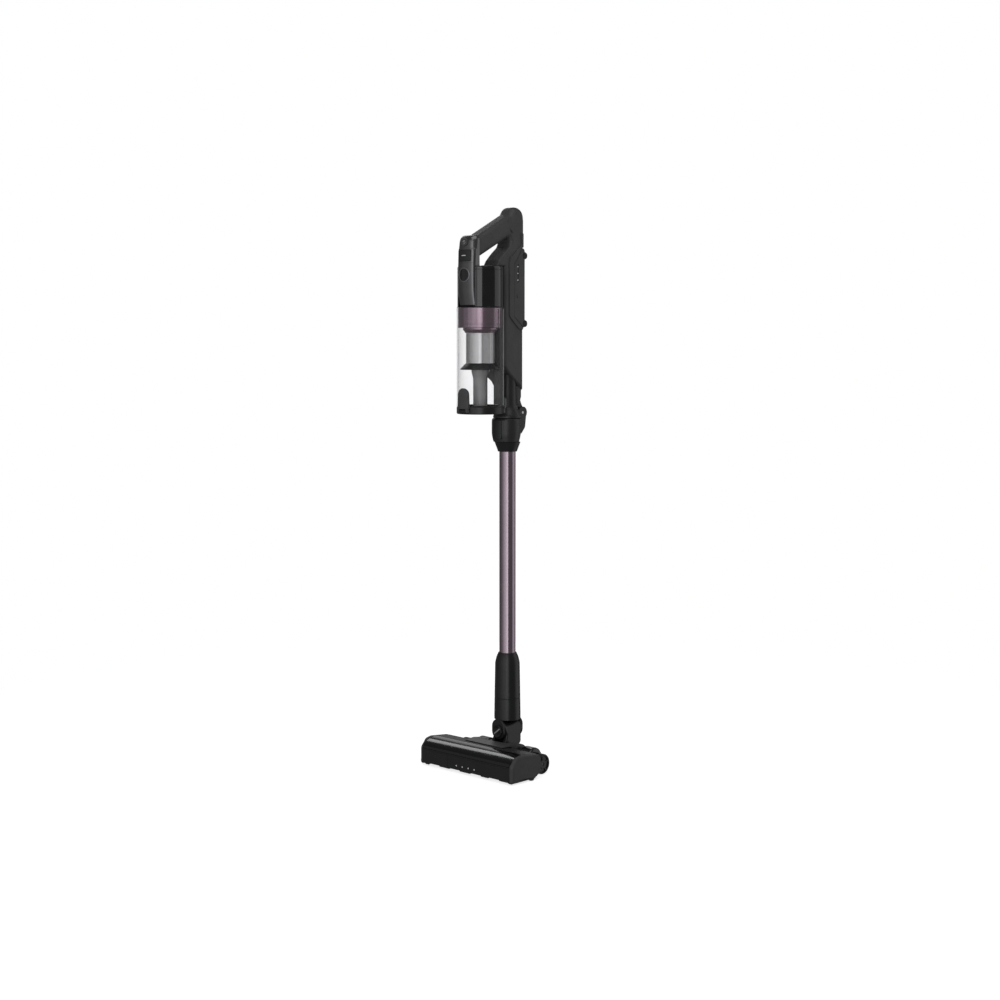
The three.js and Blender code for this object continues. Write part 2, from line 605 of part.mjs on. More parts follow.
function cycloneBand() {
  const { from, to } = BAND;
  const r = CUP.r - CUP.wall - 0.4;
  const wall = 2.5;
  const [inside, shelf] = [r - wall, from + wall];
  return cyclone([[31, from], [r, from], [r, to], [inside, to], [inside, shelf], [31, shelf]], 40);
}

function cycloneFlange() {
  const [from, to] = [MESH.to + GAP, BAND.from - GAP];
  return cyclone([[24, from], [29.5, from], [33.5, 858], [33.5, to], [24, to]]);
}

const meshScreen = () => tube(MESH.r, MESH.r - 1.2, MESH.from, MESH.to, CUP.y);

const cycloneSkirt = () =>
  cyclone([[26, 794], [28, 794], [38.6, 783.4], [38.6, 781.8], [36.8, 781.8], [26, 791.4]]);

const fineDustTube = () => cyclone([
  [12, 711.8], [13.8, 711.8], [13.8, 766], [17.2, 780], [17.2, 791], [15.4, 791], [15.4, 780.6], [12, 766.6],
], 28);

// Air inlet inside the cup, at the right rear, with a web to the middle tube.
function cupInlet() {
  const sector = (r0, r1, spread) => {
    const points = [];
    for (const [r, way] of [[r1, 1], [r0, -1]])
      for (let k = -3; k <= 3; k++) {
        const angle = Math.PI / 4 + (way * k * spread) / 3;
        points.push(new THREE.Vector2(r * Math.cos(angle), CUP.y + r * Math.sin(angle)));
      }
    return points;
  };
  const duct = slab(sector(27.5, 42.8, 0.34), "z", 715.5, 781.2, 0, [sector(29.3, 41, 0.27)]);
  const web = atRightRear(slab(
    rounded([[14.2, 781.2], [28.5, 781.2], [28.5, 746], [21, 760], [14.2, 766.8]]), "x", -2, 2,
  ));
  const tubeRoom = cyclone([[0, 700], [14.2, 700], [14.2, 766], [17.6, 780], [17.6, 800], [0, 800]], 28);
  return cut(joined(duct, web), tubeRoom);
}

// Tongue on the cup's front that carries the lid's hinge.
function hingeBracket() {
  const { pinY, pinZ, knuckle, pin } = LID;
  const outline = rounded([[707.5, -14], [747, -12.5, 12], [747, 12.5, 12], [707.5, 14]], 5);
  const plate = slab(outline, "y", -127.5, -110);
  const face = cyclone([[0, 700], [50.4, 700], [50.4, 735], [48, 750], [0, 750]], 32);
  const cupRoom = cyclone([[0, 690], [CUP.r + GAP, 690], [CUP.r + GAP, 760], [0, 760]], 32);
  const tongue = cut(plate.intersect(face), cupRoom);
  const lug = joined(
    rod("x", pinY, pinZ, knuckle, 9, 14, 16),
    block(9, 14, pinY - knuckle, pinY + 1.5, pinZ, 709),
  );
  return cut(joined(tongue, lug, mirrored(lug)), rod("x", pinY, pinZ, pin + 0.05, -20, 20, 12));
}

function binLid() {
  const { from, to, pinY, pinZ, knuckle, pin } = LID;
  const dish = cyclone([
    [0, from + 1.5], [20, from + 1], [32, from], [44, from], [CUP.r, from + 1.6], [CUP.r, to], [40, to],
    [38, from + 4.5], [0, from + 4.5],
  ], 48);
  const hinge = joined(
    rod("x", pinY, pinZ, knuckle, -8.6, 8.6, 16),
    block(-8.6, 8.6, pinY, -119, pinZ - 3, pinZ + 3),
  );
  const lugRoom = block(8.7, 14.3, -130, -119.6, 690, 720);
  const catchRoom = atRightRear(block(-7, 7, 44.2, 60, 690, 712));
  const eye = rod("x", pinY, pinZ, pin + PLAY, -20, 20, 12);
  return cut(joined(dish, hinge), lugRoom, mirrored(lugRoom), catchRoom, eye);
}

const lidPin = () => rod("x", LID.pinY, LID.pinZ, LID.pin, -13.8, 13.8, 12);

function lidSeal() {
  const from = LID.to + GAP;
  return cyclone([[38.6, from], [42.3, from], [42.5, 712.6], [42.3, 714], [38.6, 714]], 40);
}

// Catch lever on the right rear of the cup.
function binRelease() {
  const outline = rounded([[46.1, 707.5], [49, 707.5], [50.6, 712], [50.6, 726, 3], [46.1, 729]]);
  const lever = slab(outline, "x", -6, 6);
  const hook = block(-5, 5, 44.8, 48, 698.5, 710);
  return atRightRear(joined(lever, hook));
}

// ---------------------------------------------------------------- assembly
const bothSides = (name, body, material) => {
  piece(name + "_right", body, material);
  piece(name + "_left", mirrored(body), material);
};

piece("head_base", headBase(), black);
piece("head_deck", headDeck(), graphite);
piece("brush_window", brushWindow(), gloss);
piece("head_bumper", headBumper(), black);
piece("led_bar", ledBar(), ledWhite);
bothSides("end_cap", endCap(), graphite);
piece("pivot_cradle", pivotCradle(), graphite);
piece("control_pod", controlPod(), black);
piece("floor_seal", slab(rectangle(-108, -68, 108, -60, 2), "z", 0, HEAD.floor - GAP), felt);
piece("brush_roll", brushRoll(), bristle);
piece("brush_pulley", pulley(BRUSH, 4.2), grey);
piece("brush_motor", brushMotor(), steel);
piece("motor_pulley", motorShaft(), steel);
piece("drive_belt", driveBelt(), rubber);
bothSides("wheel", wheel(), black);
bothSides("roller", roller(), rubber);
bothSides("pitch_pin", pitchPin(), steel);
piece("neck_elbow", neckElbow(), black);
piece("roll_pin_front", rollPin(-1), black);
piece("roll_pin_rear", rollPin(1), black);
piece("neck_sleeve", neckSleeve(), black);
piece("sleeve_button", sleeveButton(), graphite);
piece("wand_tube", wandTube(), mauveMetal);
piece("wand_socket", wandSocket(), graphite);
piece("socket_collar", socketCollar(), black);
piece("fold_button", foldButton(), black);
piece("fold_pin", hingeBar(FOLD.pin, -16.3, 16.3, 16), steel);
piece("inlet_knuckle", inletKnuckle(), graphite);
bothSides("body_shell", rightHalf(bodyShell()), graphite);
piece("nose_shell", noseShell(), graphite);
piece("power_button", powerButton(), grey);
piece("mode_button", modeButton(), graphite);
piece("control_board", controlBoard(), board);
piece("motor_housing", motorHousing(), gloss);
piece("pre_motor_filter", preMotorFilter(), paper);
piece("fan_stator", fanStator(), steel);
piece("fan_rotor", fanRotor(), steel);
piece("battery_case", batteryCase(), graphite);
piece("battery_cells", batteryCells(), cellWrap);
piece("battery_leds", batteryLeds(), ledWhite);
piece("bumper_bar_top", bumperBar(BUMPER.zs[0]), rubber);
piece("bumper_bar_bottom", bumperBar(BUMPER.zs[1]), rubber);
piece("dust_cup", dustCup(), clear);
piece("cyclone_band", cycloneBand(), mauveGloss);
piece("cyclone_flange", cycloneFlange(), mauveGloss);
piece("mesh_screen", meshScreen(), steel);
piece("cyclone_skirt", cycloneSkirt(), black);
piece("fine_dust_tube", fineDustTube(), grey);
piece("cup_inlet", cupInlet(), graphite);
piece("hinge_bracket", hingeBracket(), grey);
piece("lid_pin", lidPin(), steel);
piece("bin_lid", binLid(), black);
piece("lid_seal", lidSeal(), rubber);
piece("bin_release", binRelease(), grey);

const vacuum = new THREE.Group();
vacuum.add(machine);
export default vacuum;
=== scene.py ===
"""Looks of a cordless stick vacuum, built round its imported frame.

Pieces are modelled in millimetres in the machine's own frame, where the wand's axis is x = y = 0
and the floor is z = 0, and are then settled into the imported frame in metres.
"""
import logging
import math
from contextlib import contextmanager
from dataclasses import dataclass, field
from enum import Enum
from typing import Callable, Iterator, Sequence

import bmesh
import bpy
from mathutils import Euler, Matrix, Vector


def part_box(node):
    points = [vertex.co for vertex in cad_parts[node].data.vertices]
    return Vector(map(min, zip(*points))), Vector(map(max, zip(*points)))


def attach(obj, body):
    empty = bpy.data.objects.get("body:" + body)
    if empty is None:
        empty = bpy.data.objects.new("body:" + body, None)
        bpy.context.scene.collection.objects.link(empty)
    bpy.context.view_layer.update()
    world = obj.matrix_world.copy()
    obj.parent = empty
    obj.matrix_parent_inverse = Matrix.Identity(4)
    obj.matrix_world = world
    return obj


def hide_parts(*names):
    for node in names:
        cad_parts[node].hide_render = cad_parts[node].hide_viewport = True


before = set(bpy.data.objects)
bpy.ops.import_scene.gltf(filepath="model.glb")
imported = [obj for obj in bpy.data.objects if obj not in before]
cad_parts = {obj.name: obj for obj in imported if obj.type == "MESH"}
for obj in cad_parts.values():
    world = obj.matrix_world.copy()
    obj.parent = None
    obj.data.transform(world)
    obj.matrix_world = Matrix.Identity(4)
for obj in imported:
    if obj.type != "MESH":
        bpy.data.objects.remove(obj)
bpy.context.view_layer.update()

MM = 0.001
TOUCHING = 0.0001  # millimetres between points that count as one
FRAME_TOUCHING = 0.005  # the same for the frame's own nodes
LEVEL = 0.001  # millimetres by which the ends of a level edge may differ
NEARLY_FLAT = 1.5  # degrees between faces that count as one
TUBE_LOW, TUBE_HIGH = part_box("wand_tube")
WAND_Y = (TUBE_LOW.y + TUBE_HIGH.y) / 2 / MM
log = logging.getLogger("stick_vacuum")

Corner = tuple[float, ...]
Point = tuple[float, float]
Colour = tuple[float, float, float]


class Axis(Enum):
    """The way that a piece's axis or depth runs, as the turn that takes local z there."""

    X = Matrix(((0, 0, 1), (1, 0, 0), (0, 1, 0)))
    Y = Matrix(((1, 0, 0), (0, 0, 1), (0, -1, 0)))
    Z = Matrix.Identity(3)


# ---------------------------------------------------------------- shader recipes
class Value:
    """A number that varies over a surface, with the usual arithmetic."""

    def __init__(self, recipe: "Recipe", socket: bpy.types.NodeSocket) -> None:
        """Wraps one output socket of a recipe."""
        self.recipe = recipe
        self.socket = socket

    def _maths(self, operation: str, *operands: "Value | float") -> "Value":
        """Adds one Math node.

        Args:
            operation: The node's operation.
            operands: Its inputs, in order.

        Returns:
            The node's result.
        """
        node = self.recipe.add("ShaderNodeMath", {"operation": operation}, dict(enumerate(operands)))
        return Value(self.recipe, node.outputs[0])

    def __add__(self, other: "Value | float") -> "Value":
        """self + other."""
        return self._maths("ADD", self, other)

    def __radd__(self, other: float) -> "Value":
        """other + self."""
        return self._maths("ADD", other, self)

    def __sub__(self, other: "Value | float") -> "Value":
        """self - other."""
        return self._maths("SUBTRACT", self, other)

    def __rsub__(self, other: float) -> "Value":
        """other - self."""
        return self._maths("SUBTRACT", other, self)

    def __mul__(self, other: "Value | float") -> "Value":
        """self * other."""
        return self._maths("MULTIPLY", self, other)

    def __rmul__(self, other: float) -> "Value":
        """other * self."""
        return self._maths("MULTIPLY", other, self)

    def wave(self) -> "Value":
        """The sine."""
        return self._maths("SINE", self)

    def size(self) -> "Value":
        """The absolute value."""
        return self._maths("ABSOLUTE", self)

    def bearing(self, across: "Value") -> "Value":
        """The angle of the vector (across, self)."""
        return self._maths("ARCTAN2", self, across)

    def ramp(self, low: float, high: float, to_low: float, to_high: float) -> "Value":
        """Maps low..high to to_low..to_high and clamps.

        Args:
            low: The value that gives to_low.
            high: The value that gives to_high.
            to_low: The result at low.
            to_high: The result at high.

        Returns:
            The mapped value.
        """
        sockets = {0: self, 1: low, 2: high, 3: to_low, 4: to_high}
        return Value(self.recipe, self.recipe.add("ShaderNodeMapRange", {}, sockets).outputs[0])


class Recipe:
    """The node tree of one material, or of the surroundings."""

    def __init__(self, name: str, world: bpy.types.World | None = None) -> None:
        """Starts an empty material, or empties a world's nodes.

        Args:
            name: The new material's name.
            world: The world whose nodes these are, where they aren't a material's.
        """
        self.material = world or bpy.data.materials.new(name)
        self.material.use_nodes = True
        self.tree = self.material.node_tree
        self.tree.nodes.clear()
        self.out = self.add("ShaderNodeOutputWorld" if world else "ShaderNodeOutputMaterial")

    def add(self, kind: str, settings: dict | None = None,
            sockets: dict | None = None) -> bpy.types.Node:
        """Adds one node.

        Args:
            kind: The node's type.
            settings: Properties, set first, such as a Math node's operation.
            sockets: Values or links of its inputs, by name or number.

        Returns:
            The node.
        """
        node = self.tree.nodes.new(kind)
        for key, value in (settings or {}).items():
            setattr(node, key, value)
        for key, value in (sockets or {}).items():
            if isinstance(value, Value):
                value = value.socket
            if isinstance(value, bpy.types.NodeSocket):
                self.tree.links.new(value, node.inputs[key])
            else:
                node.inputs[key].default_value = value
        return node

    def show(self, shader: bpy.types.Node) -> None:
        """Wires a shader to the output."""
        self.tree.links.new(shader.outputs[0], self.out.inputs[0])

    def place(self) -> bpy.types.NodeSocket:
        """The surface point in metres."""
        return self.add("ShaderNodeTexCoord").outputs["Object"]

    def coordinates(self) -> tuple[Value, Value, Value]:
        """The surface point's x, y and z in metres."""
        parts = self.add("ShaderNodeSeparateXYZ", {}, {0: self.place()})
        return tuple(Value(self, parts.outputs[k]) for k in range(3))

    def noise(self, per_metre: float, detail: float = 3, stretch: Sequence[float] = (1, 1, 1)) -> Value:
        """Soft noise from 0 to 1.

        Args:
            per_metre: Waves in a metre.
            detail: Octaves.
            stretch: Factors on the scale along x, y and z.

        Returns:
            The noise value.
        """
        mapped = self.add("ShaderNodeMapping", {}, {"Vector": self.place(), "Scale": Vector(stretch)})
        sockets = {"Vector": mapped.outputs[0], "Scale": per_metre, "Detail": detail}
        return Value(self, self.add("ShaderNodeTexNoise", {}, sockets).outputs[0])

    def mix(self, factor: Value, low: Colour, high: Colour) -> bpy.types.NodeSocket:
        """A colour between two."""
        sockets = {0: factor, 6: (*low, 1), 7: (*high, 1)}
        return self.add("ShaderNodeMix", {"data_type": "RGBA"}, sockets).outputs[2]

    def bump(self, height: Value, distance: float) -> bpy.types.NodeSocket:
        """A normal from a height from 0 to 1, where 1 means a distance in metres."""
        sockets = {"Height": height, "Distance": distance, "Strength": 1.0}
        return self.add("ShaderNodeBump", {}, sockets).outputs[0]

    def surface(self, **sockets: object) -> bpy.types.Node:
        """Adds the main shader and wires it to the output. Names use _ for a space."""
        named = {key.replace("_", " "): value for key, value in sockets.items()}
        shader = self.add("ShaderNodeBsdfPrincipled", {}, named)
        self.show(shader)
        return shader

    def see_through(self, shader: bpy.types.Node, tint: Colour, opacity: Value) -> None:
        """Mixes the main shader with plain transparency.

        Args:
            shader: The main shader.
            tint: Colour of what shows through.
            opacity: 0 for clear, 1 for solid.
        """
        glass = self.add("ShaderNodeBsdfTransparent", {}, {0: (*tint, 1)})
        sockets = {0: opacity, 1: glass.outputs[0], 2: shader.outputs[0]}
        self.show(self.add("ShaderNodeMixShader", {}, sockets))


@dataclass(frozen=True)
class Finish:
    """A finish: its name, the record's material slot that it stands for, and how it is made."""

    name: str
    slot: str

    def build(self) -> bpy.types.Material:
        """Makes the material."""
        raise NotImplementedError

    def material(self) -> bpy.types.Material:
        """The material, made once."""
        return bpy.data.materials.get(self.name) or self.build()


@dataclass(frozen=True)
class Moulded(Finish):
    """Injection-moulded plastic with a fine spark texture."""

    colour: Colour = (0.012, 0.012, 0.013)
    roughness: float = 0.42
    texture: float = 0.00004

    def build(self) -> bpy.types.Material:
        """Makes the material."""
        recipe = Recipe(self.name)
        grain = recipe.noise(5200, 2)
        cloud = recipe.noise(38, 4)
        handling = recipe.noise(9, 3)
        light = tuple(c * 1.35 + 0.002 for c in self.colour)
        recipe.surface(
            Base_Color=recipe.mix(cloud.ramp(0.3, 0.7, 0, 1) * 0.6 + grain * 0.3, self.colour, light),
            Roughness=self.roughness + handling.ramp(0.35, 0.75, -0.05, 0.07) + grain * 0.05,
            Normal=recipe.bump(grain, self.texture),
        )
        return recipe.material


@dataclass(frozen=True)
class Polished(Finish):
    """High-gloss plastic or paint with faint ripple and smudges."""

    colour: Colour = (0.006, 0.006, 0.007)
    roughness: float = 0.1
    metallic: float = 0.0

    def build(self) -> bpy.types.Material:
        """Makes the material."""
        recipe = Recipe(self.name)
        smudge = recipe.noise(45, 5)
        ripple = recipe.noise(60, 1)
        light = tuple(c * 1.25 + 0.001 for c in self.colour)
        recipe.surface(
            Base_Color=recipe.mix(smudge, self.colour, light),
            Metallic=self.metallic,
            Roughness=self.roughness + smudge.ramp(0.45, 0.7, 0, 0.09),
            Normal=recipe.bump(ripple, 0.00006),
            Coat_Weight=0.6,
            Coat_Roughness=0.04,
        )
        return recipe.material


@dataclass(frozen=True)
class Metal(Finish):
    """Metal with drawn lines that run one way."""

    colour: Colour = (0.6, 0.6, 0.62)
    roughness: float = 0.24
    lines: tuple[float, float, float] = (1, 1, 0.02)

    def build(self) -> bpy.types.Material:
        """Makes the material."""
        recipe = Recipe(self.name)
        drawn = recipe.noise(2600, 3, self.lines)
        cloud = recipe.noise(22, 3)
        dark = tuple(c * 0.86 for c in self.colour)
        recipe.surface(
            Base_Color=recipe.mix(cloud.ramp(0.3, 0.7, 0, 1) * 0.5 + drawn * 0.5, dark, self.colour),
            Metallic=1.0,
            Roughness=self.roughness + drawn * 0.1 + cloud.ramp(0.4, 0.7, 0, 0.05),
            Normal=recipe.bump(drawn, 0.00001),
        )
        return recipe.material


@dataclass(frozen=True)
class Screen(Finish):
    """Bright sheet steel, punched all over with small staggered holes, round an upright axis."""

    axis_y: float = 0.0
    radius: float = 0.0275
    pitch: float = 0.0017
    row_ratio: float = 0.58

    def build(self) -> bpy.types.Material:
        """Makes the material."""
        recipe = Recipe(self.name)
        x, y, z = recipe.coordinates()
        columns = round(math.tau * self.radius / self.pitch)
        round_it = (y - self.axis_y).bearing(x) * (columns * 2)
        height = z * (math.tau / self.pitch * self.row_ratio)
        dots = (round_it * 0.5 + height).wave() * (round_it * 0.5 - height).wave()
        hole = dots.size().ramp(0.5, 0.66, 0, 1)
        glint = recipe.noise(90, 2)
        recipe.surface(
            Base_Color=recipe.mix(hole, (0.98, 0.98, 0.985), (0.62, 0.62, 0.625)),
            Metallic=1.0 - hole * 0.4,
            Roughness=0.16 + glint * 0.06 + hole * 0.25,
            Normal=recipe.bump(1 - hole, 0.0001),
        )
        return recipe.material


@dataclass(frozen=True)
class SeeThrough(Finish):
    """Transparent plastic: clear face on, denser and shinier towards its edges."""

    tint: Colour = (0.93, 0.94, 0.95)
    body: Colour = (0.42, 0.43, 0.45)
    least: float = 0.05
    most: float = 0.75
    roughness: float = 0.05

    def build(self) -> bpy.types.Material:
        """Makes the material."""
        recipe = Recipe(self.name)
        facing = Value(recipe, recipe.add("ShaderNodeLayerWeight", {},
                                          {"Blend": 0.32}).outputs["Facing"])
        haze = recipe.noise(55, 4)
        scuffs = recipe.noise(700, 2, (1, 1, 0.12))
        shader = recipe.surface(
            Base_Color=recipe.mix(haze, self.body, tuple(c * 1.15 for c in self.body)),
            Roughness=haze.ramp(0.4, 0.75, self.roughness, self.roughness + 0.1),
            Coat_Weight=1.0,
            Coat_Roughness=0.02,
            Normal=recipe.bump(scuffs, 0.00001),
        )
        opacity = facing * facing * (self.most - self.least) + self.least + haze.ramp(0.5, 0.8, 0, 0.03)
        recipe.see_through(shader, self.tint, opacity)
        return recipe.material


@dataclass(frozen=True)
class Soft(Finish):
    """Rubber, felt, bristle or paper: matt, with its own grain."""

    colour: Colour = (0.01, 0.01, 0.011)
    roughness: float = 0.8
    grain: float = 900
    depth: float = 0.0001
    stretch: tuple[float, float, float] = (1, 1, 1)

    def build(self) -> bpy.types.Material:
        """Makes the material."""
        recipe = Recipe(self.name)
        grain = recipe.noise(self.grain, 4, self.stretch)
        cloud = recipe.noise(60, 3)
        light = tuple(min(1, c * 1.8 + 0.004) for c in self.colour)
        recipe.surface(
            Base_Color=recipe.mix(grain * 0.6 + cloud * 0.4, self.colour, light),
            Roughness=self.roughness + cloud.ramp(0.3, 0.7, -0.06, 0.06),
            Normal=recipe.bump(grain, self.depth),
            Sheen_Weight=0.15,
        )
        return recipe.material


@dataclass(frozen=True)
class LightGuide(Finish):
    """Milky light guide with a faint glow."""

    colour: Colour = (0.85, 0.88, 0.92)
    glow: float = 0.06

    def build(self) -> bpy.types.Material:
        """Makes the material."""
        recipe = Recipe(self.name)
        milk = recipe.noise(800, 2)
        white = recipe.mix(milk, self.colour, (1, 1, 1))
        recipe.surface(
            Base_Color=white,
            Roughness=0.25 + milk * 0.1,
            Emission_Color=white,
            Emission_Strength=self.glow,
        )
        return recipe.material


BLACK = Moulded("black moulding", "black_plastic", (0.014, 0.0142, 0.0145), 0.27)
GRAPHITE = Moulded("graphite moulding", "graphite_plastic", (0.024, 0.024, 0.0245), 0.34)
MATT = Moulded("matt graphite moulding", "graphite_plastic", (0.06, 0.0595, 0.0605), 0.5, 0.00006)
NOSE = Polished("satin nose paint", "graphite_plastic", (0.15, 0.15, 0.155), 0.33, 1.0)
SMOKE_GREY = Moulded("smoke grey moulding", "graphite_plastic", (0.07, 0.07, 0.072), 0.36)
GREY = Moulded("grey moulding", "grey_plastic", (0.4, 0.4, 0.405), 0.38)
# A raised rail whose pale grey is a painted highlight: it stands for the bright line along the cup's
# right edge.
RAIL_HIGHLIGHT = Moulded("pale rail moulding", "grey_plastic", (0.3, 0.3, 0.305), 0.3)
GLOSS = Polished("gloss black", "gloss_black")
MAUVE_TUBE = Metal("mauve anodised tube", "mauve_aluminium", (0.46, 0.37, 0.43), 0.13)
MAUVE_PAINT = Polished("mauve metallic paint", "mauve_gloss", (0.34, 0.25, 0.3), 0.2, 0.85)
STEEL = Metal("bright steel", "steel", (0.62, 0.62, 0.63), 0.2, (0.02, 1, 1))
TRIM = Metal("satin trim", "steel", (0.32, 0.32, 0.33), 0.28)
SCREEN = Screen("punched screen", "steel", (WAND_Y - 77) * MM)
CLEAR = SeeThrough("clear cup plastic", "clear_plastic", (0.985, 0.985, 0.988), (0.3, 0.3, 0.31), 0.012,
                   0.62)
SMOKED = SeeThrough("smoked window", "smoked_window", (0.16, 0.16, 0.165), (0.006, 0.006, 0.007), 0.62,
                    0.98, 0.13)
RUBBER = Soft("soft rubber", "rubber", (0.009, 0.009, 0.01), 0.7, 1500, 0.00004)
FELT = Soft("pressed felt", "felt", (0.035, 0.028, 0.032), 0.95, 2400, 0.0004)
BRISTLE = Soft("nylon bristle", "bristle", (0.055, 0.036, 0.048), 0.75, 2600, 0.0006, (1, 0.15, 0.15))
PAPER = Soft("filter paper", "filter_paper", (0.62, 0.62, 0.58), 0.9, 1200, 0.0002)
CELLS = Polished("cell film", "cell_pack", (0.03, 0.1, 0.25), 0.25)
BOARD = Polished("solder mask", "circuit_board", (0.01, 0.07, 0.03), 0.3)
LIGHT = LightGuide("light guide", "led")


# ---------------------------------------------------------------- modelling by operators
def deselect_all() -> None:
    """Leaves nothing selected and no object in edit mode."""
    if bpy.context.object and bpy.context.object.mode != "OBJECT":
        bpy.ops.object.mode_set(mode="OBJECT")
    bpy.ops.object.select_all(action="DESELECT")


def activate(piece: bpy.types.Object) -> None:
    """Makes one object the only selected one and the active one."""
    deselect_all()
    piece.select_set(True)
    bpy.context.view_layer.objects.active = piece


@contextmanager
def editing(piece: bpy.types.Object) -> Iterator[None]:
    """Holds a piece in edit mode, with all of it selected at the start."""
    activate(piece)
    bpy.ops.object.mode_set(mode="EDIT")
    bpy.ops.mesh.select_all(action="SELECT")
    yield
    bpy.ops.object.mode_set(mode="OBJECT")


def pick_edges(piece: bpy.types.Object, test: Callable[[Vector, Vector], bool]) -> None:
    """Selects, in edit mode, the edges whose two ends pass a test."""
    bpy.ops.mesh.select_all(action="DESELECT")
    bpy.ops.mesh.select_mode(type="EDGE")
    mesh = bmesh.from_edit_mesh(piece.data)
    for edge in [edge for edge in mesh.edges if test(edge.verts[0].co, edge.verts[1].co)]:
        edge.select_set(True)
    bmesh.update_edit_mesh(piece.data)


def moved(piece: bpy.types.Object, matrix: Matrix) -> bpy.types.Object:
    """Applies a move, a turn or a scale to a piece's mesh."""
    activate(piece)
    piece.matrix_world = matrix
    bpy.ops.object.transform_apply(location=True, rotation=True, scale=True)
    return piece


def placed(piece: bpy.types.Object, axis: Axis, centre: Sequence[float]) -> bpy.types.Object:
    """Turns a piece's local z to an axis and moves it."""
    return moved(piece, Matrix.Translation(Vector(centre)) @ axis.value.to_4x4())


def leaning(piece: bpy.types.Object, centre: Sequence[float], angle: float,
            axis: str) -> bpy.types.Object:
    """Turns a piece about the origin's x, y or z by an angle in radians, and moves it."""
    return moved(piece, Matrix.Translation(centre) @ Matrix.Rotation(angle, 4, axis))


def copied(piece: bpy.types.Object, name: str) -> bpy.types.Object:
    """A copy with a mesh of its own."""
    twin = piece.copy()
    twin.data = piece.data.copy()
    twin.name = name
    bpy.context.collection.objects.link(twin)
    return twin


def turned(name: str, profile: Sequence[Point], axis: Axis = Axis.Z,
           centre: Sequence[float] = (0, 0, 0), segments: int = 96) -> bpy.types.Object:
    """Sweeps a profile round an axis, ring by ring.

    Args:
        name: The new object's name.
        profile: Radius and height of each ring. It closes on itself, or on the axis where an end's
            radius is 0.
        axis: The way that height runs.
        centre: A point on the axis, where height is 0.
        segments: Sides of each ring.

    Returns:
        The closed object.
    """
    on_axis = [k for k in (0, -1) if profile[k][0] == 0]
    rings = [ring for ring in profile if ring[0] > 0]
    deselect_all()
    radius, height = rings[0]
    bpy.ops.mesh.primitive_circle_add(vertices=segments, radius=radius, fill_type="NOTHING")
    piece = bpy.context.object
    piece.name = name
    path = rings[1:] if on_axis else rings[1:] + rings[:1]
    with editing(piece):
        bpy.ops.transform.translate(value=(0, 0, height))
        for next_radius, next_height in path:
            bpy.ops.mesh.extrude_region_move(TRANSFORM_OT_translate={"value": (0, 0,
                                                                               next_height - height)})
            ratio = next_radius / radius
            bpy.ops.transform.resize(value=(ratio, ratio, 1), center_override=(0, 0, 0))
            radius, height = next_radius, next_height
        bpy.ops.mesh.select_all(action="SELECT")
        bpy.ops.mesh.remove_doubles(threshold=TOUCHING)
        bpy.ops.mesh.select_all(action="DESELECT")
        bpy.ops.mesh.select_mode(type="VERT")
        bpy.ops.mesh.select_non_manifold()
        if on_axis:
            bpy.ops.mesh.fill_holes(sides=0)
        bpy.ops.mesh.select_all(action="SELECT")
        bpy.ops.mesh.normals_make_consistent(inside=False)
    return placed(piece, axis, centre)


def filleted(corners: Sequence[Corner], steps: int = 6) -> list[Point]:
    """Turns corners (u, v, radius) into points, with each radius as an arc.

    Args:
        corners: The outline's corners in order; a missing radius is 0.
        steps: Chords of each arc.

    Returns:
        The outline's points.
    """
    points: list[Point] = []
    for k, (u, v, *radius) in enumerate(corners):
        here = Vector((u, v))
        if not radius or not radius[0]:
            points.append((u, v))
            continue
        before = (Vector(corners[k - 1][:2]) - here).normalized()
        after = (Vector(corners[(k + 1) % len(corners)][:2]) - here).normalized()
        half = before.angle(after) / 2
        centre = here + (before + after).normalized() * (radius[0] / math.sin(half))
        start = here + before * (radius[0] / math.tan(half)) - centre
        end = here + after * (radius[0] / math.tan(half)) - centre
        sweep = math.atan2(start.cross(end), start.dot(end))
        for j in range(steps + 1):
            arm = Matrix.Rotation(sweep * j / steps, 2) @ start
            points.append(tuple(centre + arm))
    return points


def oblong(low: Point, high: Point, radius: float) -> list[Point]:
    """A rectangle between two corners, with rounded corners."""
    return filleted([(*low, radius), (high[0], low[1], radius), (*high, radius),
                     (low[0], high[1], radius)])


def span(side: int, near: float, far: float) -> list[float]:
    """Low and high x of a stretch that starts near the middle plane, on the side -1 or 1."""
    return sorted((side * near, side * far))


def arc(u: float, v: float, across: float, up: float, start: float, end: float,
        steps: int = 20) -> list[Point]:
    """Points of an elliptical arc.

    Args:
        u: Centre.
        v: Centre.
        across: Radius along u.
        up: Radius along v.
        start: First angle in degrees.
        end: Last angle in degrees.
        steps: Chords.

    Returns:
        The points, first to last.
    """
    angles = [math.radians(start + (end - start) * k / steps) for k in range(steps + 1)]
    return [(u + across * math.cos(a), v + up * math.sin(a)) for a in angles]


